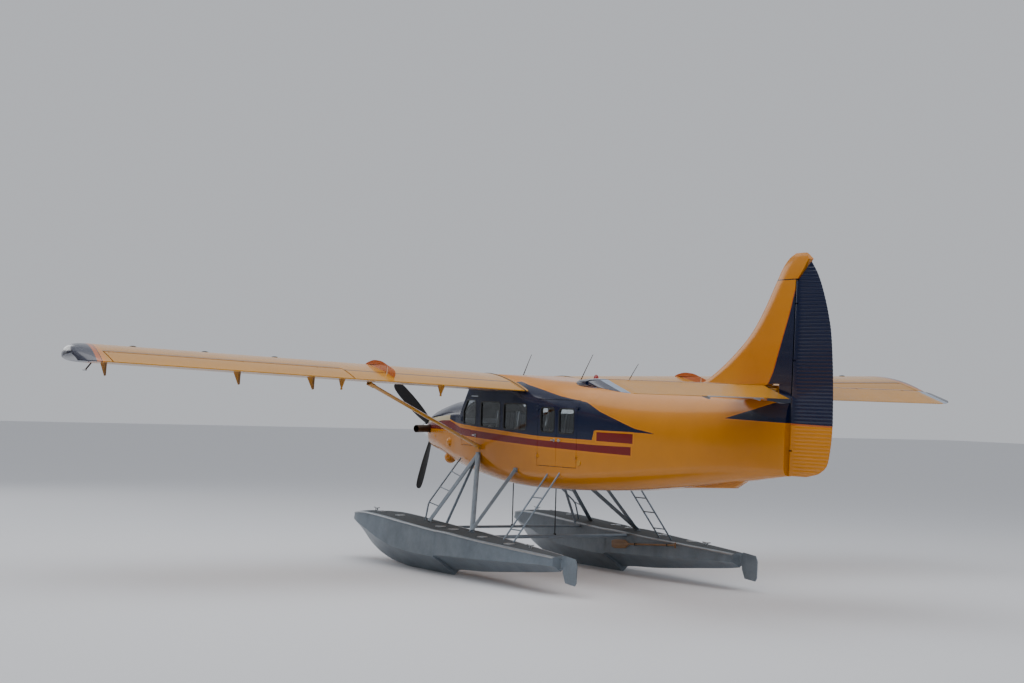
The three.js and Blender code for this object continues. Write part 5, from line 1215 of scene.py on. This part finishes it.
angles = [FIRST_ANGLE + 2 * np.pi / BLADES * i for i in range(BLADES)]
place("propeller", joined(bar("y", SHAFT, PROP_Y - 0.075, PROP_Y + 0.0617, 0.105, 32),
                          bar("y", SHAFT, PROP_Y - 0.300, PROP_Y - 0.074, 0.055, 24), *map(blade, angles)),
      matt_black, "propeller_body", "propeller_black")
nose = np.linspace(0, np.pi / 2, 26)
outer, inner = (np.stack([radius * np.sin(nose) ** 0.9, length * np.cos(nose) ** 1.25], 1)
                for radius, length in ((0.190, 0.385), (0.183, 0.372)))
profile = np.concatenate([outer, [(0.190, -0.060), (0.106, -0.060), (0.106, -0.054), (0.184, -0.054)], inner[::-1]])
spinner = carve(turned(profile), ("cut", *[
    rod([(math.cos(angle) * out, PROP_Y, PROP_Z + math.sin(angle) * out) for out in (0.1, 0.3)], 0.076, 20)
    for angle in angles]))
place("spinner", spinner, polished, "propeller_body", "polished_aluminium")


# Floats: riveted aluminium hulls painted pale grey, with a stepped vee bottom, a dark non-slip deck
# inside a bright rim, and a water rudder hung on lugs at each stern.
FLOAT_X = 1.755
DECK_CROWN = 0.022
SPRAY = 0.014
FLOAT_ROWS = np.array([
    # station, deck height, deck half width, chine height, chine half width, keel height
    [-2.400, -2.436, 0.060, -2.484, 0.072, -2.520], [-2.330, -2.392, 0.150, -2.462, 0.165, -2.600],
    [-2.150, -2.340, 0.255, -2.475, 0.272, -2.745], [-1.850, -2.312, 0.325, -2.520, 0.345, -2.905],
    [-1.400, -2.298, 0.368, -2.610, 0.392, -3.055], [-0.800, -2.318, 0.390, -2.745, 0.420, -3.160],
    [-0.100, -2.358, 0.395, -2.845, 0.430, -3.200], [0.700, -2.400, 0.392, -2.880, 0.430, -3.200],
    [1.350, -2.432, 0.385, -2.890, 0.425, -3.200], [1.352, -2.432, 0.385, -2.862, 0.420, -3.118],
    [2.500, -2.486, 0.350, -2.815, 0.382, -3.040], [3.700, -2.544, 0.270, -2.770, 0.296, -2.935],
    [4.720, -2.592, 0.165, -2.735, 0.182, -2.838], [4.840, -2.600, 0.140, -2.735, 0.152, -2.820],
])
DECK_PAINT = [(-2.4, 0.03), (-2.15, 0.20), (-1.4, 0.32), (0.7, 0.345), (2.5, 0.30), (4.84, 0.10)]
POST_Y, STERN_Y = 4.880, 4.840
LUG_HEIGHTS = ((-2.648, -2.624), (-2.790, -2.766))
WATER_BLADE = [
    # distance aft of the post, height
    (0.006, -2.740), (0.006, -2.668), (0.030, -2.652), (0.030, -2.590), (0.060, -2.560), (0.400, -2.590),
    (0.450, -2.680), (0.440, -2.960), (0.400, -3.010), (0.120, -2.990), (0.046, -2.850), (0.036, -2.752),
]


def float_form(stations):
    """The port float: a crowned deck z = deck + crown * (1 - (x / half)^2), upright sides to the chine, and
    a hollow vee from there to the keel."""
    deck, deck_half, chine, chine_half, keel = (column[:, None] for column in through(FLOAT_ROWS, stations).T)
    s, v, u = np.linspace(0, 0.97, 9)[None], np.linspace(0, 1, 5)[None, 1:], np.linspace(0, 1, 9)[None]
    x = np.concatenate([s * deck_half, deck_half * 0.992, deck_half, deck_half + (chine_half - deck_half) * v,
                        chine_half * 0.98 + (0.014 - chine_half * 0.98) * u], 1)
    z = np.concatenate([deck + DECK_CROWN * (1 - s ** 2), deck - 0.004, deck - 0.018,
                        (deck - 0.018) + (chine + SPRAY - deck + 0.018) * v,
                        chine + (keel - chine) * u + 0.02 * np.sin(np.pi * u)], 1)
    z, x = two_faced(z, x)
    return stacked(stations, "y", FLOAT_X + x, z)


def float_paint():
    """Pale grey paint over aluminium, scuffed and water-stained, with a dark non-slip deck, panel lines
    and frame rivets."""
    material, tree, surface = new_material("float_grey_paint")
    vector, (x, y, z) = datum_axes(tree)
    out = away_from(compute("ABSOLUTE", x), FLOAT_X)
    facing = add_node(tree, "SeparateXYZ", {0: add_node(tree, "NewGeometry").outputs["Normal"]}).outputs[2]
    inside = compute("LESS_THAN", out, edge_line(y, DECK_PAINT))
    on_deck = compute("MULTIPLY", compute("GREATER_THAN", facing, 0.8), inside)
    stain = add_node(tree, "TexNoise", {"Vector": vector, "Scale": 2.5, "Detail": 7.0, "Roughness": 0.7})
    grit = add_node(tree, "TexNoise", {"Vector": vector, "Scale": 120.0, "Detail": 2.0})
    shades = []
    for noise, *stops in ((stain, (0.3, "#616b74"), (0.7, "#7d8892")), (grit, (0.0, "#2e3337"), (1.0, "#4a5055"))):
        shades.append(add_node(tree, "ValToRGB", {"Fac": noise}))
        for stop, (position, colour) in zip(shades[-1].color_ramp.elements, stops):
            stop.position, stop.color = position, linear(colour)
    colour = paint_over(shades[0].outputs[0], shades[1].outputs[0], on_deck)
    frames = compute("PINGPONG", y, 0.28)
    dots = rivets(z, compute("SUBTRACT", frames, 0.02), 0.045)
    relief = compute("SUBTRACT", dots, compute("LESS_THAN", frames, 0.004))
    bump = add_node(tree, "Bump", {"Height": relief, "Strength": 0.8, "Distance": 0.002})
    bump = add_node(tree, "Bump", {"Height": compute("MULTIPLY", grit, on_deck), "Strength": 0.4, "Distance": 0.002,
                                   "Normal": bump})
    rough = add_node(tree, "MapRange", {"Value": on_deck, "To Min": 0.38, "To Max": 0.85})
    feed(surface, {"Base Color": colour, "Roughness": rough, "Metallic": 0.15, "Normal": bump})
    return material


def post(low, high, radius):
    """A round bar on the water rudder's upright hinge line."""
    return bar("z", (FLOAT_X, POST_Y), low, high, radius)


float_grey = float_paint()
float_hull = float_form(np.concatenate([-2.40 + 0.55 * (1 - np.cos(np.linspace(0, np.pi / 2, 14))),
                                        np.linspace(-1.8, 1.35, 60), [1.352], np.linspace(1.4, 4.84, 60)]))
lugs = [part for low, high in LUG_HEIGHTS for part in (
    post(low, high, 0.022), block(FLOAT_X - 0.016, FLOAT_X + 0.016, STERN_Y - 0.02, POST_Y, low, high))]
water_rudder = joined(post(LUG_HEIGHTS[1][1] + SEAT, LUG_HEIGHTS[0][0] - SEAT, 0.014),
                      prism([(POST_Y + aft, z) for aft, z in WATER_BLADE], "x", FLOAT_X - 0.009, FLOAT_X + 0.009))
both("float", float_hull, float_grey, slot="float_paint")
both("float_stern_lugs", joined(*lugs), float_grey, bevel=0.002)
both("water_rudder", water_rudder, float_grey, "water_rudder_{}_body", slot="float_paint", bevel=0.002)

# Float struts: streamlined aluminium tube painted pale blue-grey, bolted to fork fittings on the cabin
# and on the floats' decks, with ladders of round steel tube and two tubes that hold the floats apart.
strut_paint = coat("pale_blue_strut_paint", "#5b6570", "#87939f", 7.0, 0.35, Metallic=0.25)
GEAR_FORE, GEAR_AFT, GEAR_INNER = np.array([[0.812, 0.390, -1.140], [0.812, 1.740, -1.355], [1.400, 0.300, -2.470]])
FOOT_FORE, FOOT_AFT = np.array([[1.712, 0.290, -2.352], [1.712, 1.870, -2.408]])
RAIL_TOP, RAIL_KNEE, RAIL_FOOT = np.array([[0.770, -0.330, -1.235], [1.560, -0.040, -2.035], [1.640, -0.010, -2.380]])
RAIL_RADIUS, RUNG_RADIUS = 0.015, 0.011
FRONT_RUNGS = [(0.3, 0.34), (0.65, 0.56), (0.99, 0.78)]
REAR_TOP, REAR_FOOT = np.array([[0.700, 0.0, -1.310], [1.640, 0.015, -2.560]])
REAR_RAILS, REAR_RUNGS = (2.720, 3.070), (0.37, 0.57, 0.80)
FITTINGS = [
    # point, reach each way along x, y and z
    (GEAR_FORE, (-0.040, 0.022), (-0.050, 0.060), (-0.045, 0.040)),
    (GEAR_AFT, (-0.040, 0.020), (-0.045, 0.045), (-0.040, 0.035)),
    (FOOT_FORE, (-0.040, 0.040), (-0.055, 0.055), (-0.066, -0.012)),
    (FOOT_AFT, (-0.040, 0.040), (-0.075, 0.040), (-0.066, -0.004)),
]
SPREADERS = [("spreader_fore", 0.470, -2.440, 0.024), ("spreader_aft", 1.990, -2.500, 0.032)]
upper_rail, lower_rail, leg = RAIL_KNEE - RAIL_TOP, RAIL_FOOT - RAIL_KNEE, FOOT_FORE - GEAR_FORE
gear = [streamline(GEAR_FORE, FOOT_FORE, 0.115, 0.060), streamline(GEAR_FORE, FOOT_AFT, 0.115, 0.060),
        streamline(GEAR_AFT, FOOT_AFT - (0, 0.03, 0), 0.100, 0.052), streamline(GEAR_FORE, GEAR_INNER, 0.072, 0.042),
        rod([RAIL_TOP, RAIL_KNEE - 0.04 * upper_rail, RAIL_KNEE + 0.1 * lower_rail, RAIL_FOOT], RAIL_RADIUS, 12)]
gear += [rod([RAIL_TOP + upper_rail * on_rail, GEAR_FORE + leg * on_strut], RUNG_RADIUS, 10)
         for on_rail, on_strut in FRONT_RUNGS]
gear += [block(*[at[axis] + reach for axis, pair in enumerate(reaches) for reach in pair])
         for at, *reaches in FITTINGS]
gear_bolts = [bolt(at + (0, end, 0), 0.011, 0.007) for at, _, along, _ in FITTINGS for end in along]
ladder = [rod([REAR_TOP + (0, y, 0), REAR_FOOT + (0, y, 0)], RAIL_RADIUS, 12) for y in REAR_RAILS]
ladder += [rod([REAR_TOP + (REAR_FOOT - REAR_TOP) * share + (0, y, 0) for y in REAR_RAILS], RUNG_RADIUS, 10,
               wide=(1, 0, 0)) for share in REAR_RUNGS]
both("float_struts", joined(*gear), strut_paint, slot="strut_paint")
both("float_strut_bolts", joined(*gear_bolts), bare_metal)
both("rear_ladder", joined(*ladder), strut_paint, slot="strut_paint")
for name, y, z, radius in SPREADERS:
    place(name, bar("x", (y, z), -1.45, 1.45, radius, 20), strut_paint, slot="strut_paint")


# Float fittings: extruded aluminium rims along both edges of each deck, round pump-out hatch covers,
# cast horn cleats and a moulded rubber bumper on each bow.
RIM_RADIUS = 0.012
HATCH_X = FLOAT_X + 0.08
HATCHES, CLEATS = (-1.35, -0.62, 0.95, 1.42, 2.45, 3.35), (-1.75, 3.90)
CLEAT_RADIUS = 0.010
rim_y = np.linspace(-2.38, 4.83, 90)
deck_z, deck_half = through(FLOAT_ROWS, rim_y)[:, :2].T
float_parts = [rod(np.stack([FLOAT_X + edge * deck_half, rim_y, deck_z - 0.010], 1), RIM_RADIUS, 10, wide=(0, 0, 1))
               for edge in (1, -1)]
for y in (*HATCHES, *CLEATS):
    top = float(np.interp(y, rim_y, deck_z)) + DECK_CROWN
    if y in HATCHES:
        float_parts += [bar("z", (HATCH_X, y), top - 0.01, top + 0.008, 0.095, 32),
                        bar("z", (HATCH_X, y), top, top + 0.016, 0.022, 20)]
    else:
        horns = [(FLOAT_X, y + off, top + rise) for off, rise in ((-0.11, 0.055), (0, 0.045), (0.11, 0.055))]
        float_parts += [bar("z", (FLOAT_X, y + off), top - 0.01, top + 0.045, CLEAT_RADIUS, 10)
                        for off in (-0.035, 0.035)]
        float_parts.append(rod(horns, CLEAT_RADIUS, 10, wide=(1, 0, 0)))
both("float_fittings", joined(*float_parts), bare_metal, bevel=0.001)
both("float_bumper", ball((FLOAT_X, -2.375, -2.475), (0.095, 0.045, 0.055)), rubber)

# Guide tubes: two steel tubes from under the belly down to the spreader bars carry the water rudders'
# cables. The wooden paddle is varnished ash, clipped along the inboard side of the starboard float.
GUIDES = [
    # x, y, end under the belly, end on the spreader bar
    (0.100, 0.470, -1.500, -2.425), (0.120, 1.985, -1.600, -2.475),
]
# The tubes' dark colour is partly the steel's own and partly painted shade, as they hang under the belly.
shaded_steel_tube, tree, surface = new_material("shaded_dark_steel_tube")
drawn = add_node(tree, "TexWave", {"Vector": datum_axes(tree)[0], "Scale": 120.0, "Distortion": 0.5},
                 bands_direction="DIAGONAL")
lay = add_node(tree, "Bump", {"Height": drawn, "Strength": 0.4, "Distance": 0.0008})
feed(surface, {"Base Color": linear("#3a3c40"), "Metallic": 0.8, "Roughness": 0.45, "Normal": lay})
guides = [part for x, y, top, foot in GUIDES for part in (
    rod([(x, y, top), (x, y, foot)], 0.010, 14), ball((x, y, foot + 0.012), (0.020, 0.040, 0.022), 10, 16))]
place("cable_guides", joined(*guides), shaded_steel_tube)
wood = coat("varnished_ash_wood", "#5d3d1c", "#9a7240", 1.0, 0.4, stretch=(40.0, 1.5, 40.0), **{"Coat Weight": 0.3})
PADDLE = np.array([-1.428, 3.440, -2.560])
along = np.array([-1.318, 1.620, -2.676]) - PADDLE
paddle = [rod([PADDLE, PADDLE + 0.78 * along], 0.016, 14, wide=(0, 0, 1)),
          rod([PADDLE + share * along for share in (0.72, 0.78, 0.95, 1.0)], (0.016, 0.075, 0.080, 0.060), 20,
              narrow=(0.014, 0.010, 0.008, 0.005), wide=(0, 0, 1)),
          rod([PADDLE - (0, 0, 0.05), PADDLE + (0, 0, 0.05)], 0.014, 12, wide=(1, 0, 0))]
place("paddle", joined(*paddle), wood)
clips = [block(x - 0.045, x + 0.020, y - 0.015, y + 0.015, z - 0.022, z + 0.022)
         for x, y, z in (PADDLE + 0.12 * along, PADDLE + 0.62 * along)]
place("paddle_clips", joined(*clips), rubber, bevel=0.003)

# Aerials: three whip aerials of painted steel on small bases along the roof, a red glass beacon, and a
# pitot mast of dark painted tube under the port wing tip. Rubber vents lie along the wings.
WHIPS = [((0.520, 0.300), (0.810, 0.690)), ((2.480, 0.222), (2.870, 0.680)), ((3.900, 0.150), (4.270, 0.520))]
BEACON_Y = 2.990
PITOT_HEAD = np.array([8.160, 0.500, -0.120])
VENT_Y, VENTS = 0.600, (4.940, 6.190, 7.430)
FILLER_Y, FILLER_Z = 3.600, -1.155
whips = [rod([(0, y0, z0 - 0.01), (0, (y0 + y1) / 2, (z0 + z1) / 2), (0, y1, z1)], (0.009, 0.006, 0.004), 10,
             wide=(1, 0, 0)) for (y0, z0), (y1, z1) in WHIPS]
whips += [bar("z", (0, y), z - 0.02, z + 0.02, (0.032, 0.018), 20) for (y, z), _ in WHIPS]
place("roof_aerials", joined(*whips), matt_black)
beacon_glass, tree, surface = new_material("red_beacon_glass")
feed(surface, {"Base Color": linear("#b01008"), "Roughness": 0.08, "IOR": 1.5, "Transmission Weight": 0.6,
               "Coat Weight": 0.5})
place("beacon", ball((0, BEACON_Y, 0.272), (0.045, 0.045, 0.065)), beacon_glass)
place("beacon_base", bar("z", (0, BEACON_Y), 0.170, 0.240, 0.055, 32), bare_metal, bevel=0.003)
place("pitot_mast", raised(1, streamline((8.060, 0.520, 0.020), PITOT_HEAD, 0.060, 0.020)), matt_black)
pitot = rod([PITOT_HEAD - (0, ahead, 0) for ahead in (-0.04, 0.10, 0.14)], (0.015, 0.015, 0.009), 14, wide=(1, 0, 0))
place("pitot_tube", raised(1, pitot), bare_metal)
vent_z = float(wing_top(np.array(VENT_Y / CHORD)))
both("wing_vents", joined(*[ball((x, VENT_Y, vent_z), (0.055, 0.070, 0.016)) for x in VENTS]), rubber, lay=raised)
filler_x = skin_at(FILLER_Y, FILLER_Z)
filler = bar("x", (FILLER_Y, FILLER_Z), filler_x - 0.010, filler_x + 0.008, 0.052, 32)
place("filler_cap", filler, wing_enamel, bevel=0.003)

# Wing root seals: black rubber strip pressed into the joint all round each wing root. The elevators' trim
# tab is a narrow sheet flap with its rod, set in the port elevator's trailing edge.
both("wing_root_seal", prism(grown(section, 0.006), "x", 0.792, 0.812), rubber, lay=raised)
TAB_FROM, TAB_TO = 0.62, 1.62
tab = [block(TAB_FROM, TAB_TO, TAIL_END_Y - 0.006, TAIL_END_Y + 0.030, TAIL_Z - 0.005, TAIL_Z + 0.005),
       *[block(x - 0.010, x + 0.010, TAIL_HINGE_Y + 0.30, TAIL_END_Y + 0.01, TAIL_Z - 0.045, TAIL_Z - 0.012)
         for x in (TAB_FROM + 0.05, TAB_TO - 0.05)]]
tab = turned_about(joined(*tab), TAIL_HINGE_Y, TAIL_Z, -DROOP)
place("elevator_trim_tab", tab, bare_metal, "elevator_body", bevel=0.001)


# Cabin inside: ribbed rubber mat on the plywood floor, a padded grey bulkhead, a black instrument panel
# with round dials and two control yokes, and the bare aluminium firewall.
INSIDE = [
    ("cabin_floor", coat("ribbed_floor_rubber", "#1b1c1d", "#2e3031", 60.0, 0.8, 0.5)),
    ("cabin_bulkhead", coat("grey_bulkhead_trim", "#5a5c5b", "#74767a", 35.0, 0.75, 0.3)),
    ("instrument_panel", coat("black_crackle_paint", "#101112", "#1d1e20", 220.0, 0.65, 0.6)),
    ("firewall", coat("bare_firewall_sheet", "#7c7e80", "#a2a5a8", 12.0, 0.4, 0.1, Metallic=0.9)),
]
PANEL_Y = -0.640
DIAL_X, DIAL_Z = (0.20, 0.31, 0.42, -0.20, -0.31, -0.42, 0.0), (-0.665, -0.775)
YOKE_X, YOKE_Y = 0.33, PANEL_Y + 0.22
for name, material in INSIDE:
    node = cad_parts[name]
    node.data.materials.clear()
    node.data.materials.append(material)
dials = [part for x in DIAL_X for z in DIAL_Z for part in (
    bar("y", (x, z), PANEL_Y - 0.002, PANEL_Y + 0.008, (0.046, 0.040), 28),
    bar("y", (x, z), PANEL_Y, PANEL_Y + 0.0095, 0.006, 10))]
place("instrument_dials", joined(*dials), bare_metal)
turn = np.linspace(np.pi * 0.9, np.pi * 2.1, 16)
yokes = [part for x in (YOKE_X, -YOKE_X) for part in (
    bar("y", (x, -0.80), PANEL_Y - 0.01, YOKE_Y, 0.016, 14),
    rod(np.stack([x + 0.14 * np.cos(turn), np.full(16, YOKE_Y), -0.79 + 0.11 * np.sin(turn)], 1), 0.012, 12))]
place("control_yokes", joined(*yokes), matt_black)

# Seats: aluminium tube frames with trays, each with a stuffed seat cushion and back cushion in grey-blue
# vinyl with sewn channels. The rear bench is two such seats wide.
FLOOR_TOP = -1.3047
SEATS = [
    # name, middle across the cabin, front edge, places
    ("seat_pilot", 0.330, 0.040, 1), ("seat_co_pilot", -0.330, 0.040, 1), ("seat_fore_port", 0.400, 0.900, 1),
    ("seat_fore_starboard", -0.400, 0.900, 1), ("seat_rear", -0.250, 1.800, 2),
]
SEAT_PAD = [(0.005, 0.305), (0.385, 0.305), (0.375, 0.400), (0.012, 0.405)]
BACK_PAD = [(0.350, 0.400), (0.432, 0.385), (0.548, 0.970), (0.466, 0.985)]
SEAT_TUBES = [
    # paths of one side's tubes, as points (aft of the front edge, above the floor)
    [(0.06, 0), (0.06, 0.29)], [(0.40, 0), (0.40, 0.29)], [(0.41, 0.29), (0.445, 0.42), (0.548, 0.965)],
    [(0.03, 0.02), (0.43, 0.02)],
]
SEAT_WIDTH, TUBE_RADIUS = 0.450, 0.012
CHANNEL, SEAM_DEPTH, SEAM_WIDTH = 0.090, 0.007, 0.010
PUFF, SHRINK, VOXEL, FRAMES, SMOOTHING = 0.022, 0.014, 0.006, 20, 6


def stuffed(outline):
    """Cushion from a block that is slightly too small: remeshed in voxels, blown up as cloth for a few frames,
    each point then held to within PUFF of where it began, smoothed, and drawn in along the channels by
    depth * exp(-(distance to the seam / width)^2)."""
    wide = SEAT_WIDTH / 2 - SHRINK
    pad = bpy.data.objects.new("pad", to_mesh(prism(grown(outline, -SHRINK), "x", -wide, wide)))
    bpy.context.scene.collection.objects.link(pad)
    remesh = pad.modifiers.new("voxels", "REMESH")
    remesh.mode = "VOXEL"
    remesh.voxel_size = VOXEL
    fine = evaluated(pad)
    pad.modifiers.clear()
    pad.data = fine
    start = mesh_points(fine)
    cloth = pad.modifiers.new("cloth", "CLOTH").settings
    cloth.use_pressure = True
    cloth.uniform_pressure_force = 4.0
    cloth.effector_weights.gravity = 0.0
    for number in range(1, FRAMES + 1):
        bpy.context.scene.frame_set(number)
    blown = evaluated(pad)
    move = mesh_points(blown) - start
    length = np.linalg.norm(move, axis=1, keepdims=True)
    set_points(blown, start + move * np.minimum(1, PUFF / np.maximum(length, 1e-9)))
    work = bmesh.new()
    work.from_mesh(blown)
    for _ in range(SMOOTHING):
        bmesh.ops.smooth_vert(work, verts=work.verts, factor=0.5, use_axis_x=True, use_axis_y=True, use_axis_z=True)
    work.to_mesh(blown)
    work.free()
    held = mesh_points(blown)
    seam = np.abs((held[:, :1] + CHANNEL / 2) % CHANNEL - CHANNEL / 2)
    held -= SEAM_DEPTH * np.exp(-(seam / SEAM_WIDTH) ** 2) * mesh_points(blown, "normal")
    bpy.data.objects.remove(pad)
    bpy.context.scene.frame_set(1)
    return set_points(blown, held)


def seat_vinyl():
    """Grey-blue vinyl, finely grained, with sewn channels: a crease every CHANNEL across the seat, with painted shade
    darkening the colour into each crease.
    """
    material, tree, surface = new_material("grey_blue_seat_vinyl")
    vector, (x, y, z) = datum_axes(tree)
    crease_and_shade = add_node(tree, "MapRange", {"Value": compute("PINGPONG", x, CHANNEL / 2), "From Max": 0.014},
                      interpolation_type="SMOOTHSTEP")
    grain = add_node(tree, "TexNoise", {"Vector": vector, "Scale": 300.0, "Detail": 3.0})
    bump = add_node(tree, "Bump", {"Height": crease_and_shade, "Strength": 0.8, "Distance": 0.006})
    bump = add_node(tree, "Bump", {"Height": grain, "Strength": 0.25, "Distance": 0.0008, "Normal": bump})
    # Painted shade: the vinyl's colour darkens into each sewn crease.
    colour = paint_over(linear("#3a4048"), linear("#5f6872"), crease_and_shade)
    feed(surface, {"Base Color": colour, "Roughness": 0.5, "Normal": bump})
    return material


vinyl = seat_vinyl()
cushions = [stuffed(outline) for outline in (SEAT_PAD, BACK_PAD)]
for name, middle, front, places in SEATS:
    half = SEAT_WIDTH * places / 2
    frame_parts = [block(middle - half, middle + half, front + 0.02, front + 0.42,
                         FLOOR_TOP + 0.285, FLOOR_TOP + 0.305)]
    frame_parts += [rod([(x, front + aft, FLOOR_TOP + up) for aft, up in tube], TUBE_RADIUS, 10, wide=(1, 0, 0))
                    for x in (middle - half + 0.03, middle + half - 0.03) for tube in SEAT_TUBES]
    place(name + "_frame", joined(*frame_parts), bare_metal, stands_for=name)
    for number in range(places):
        at = (middle - half + SEAT_WIDTH * (number + 0.5), front, FLOOR_TOP)
        for part, mesh in zip(("seat", "back"), cushions):
            cushion = changed(mesh, lambda points: points + at)
            place(f"{name}_{part}_cushion_{number + 1}", cushion, vinyl, sharp=60)
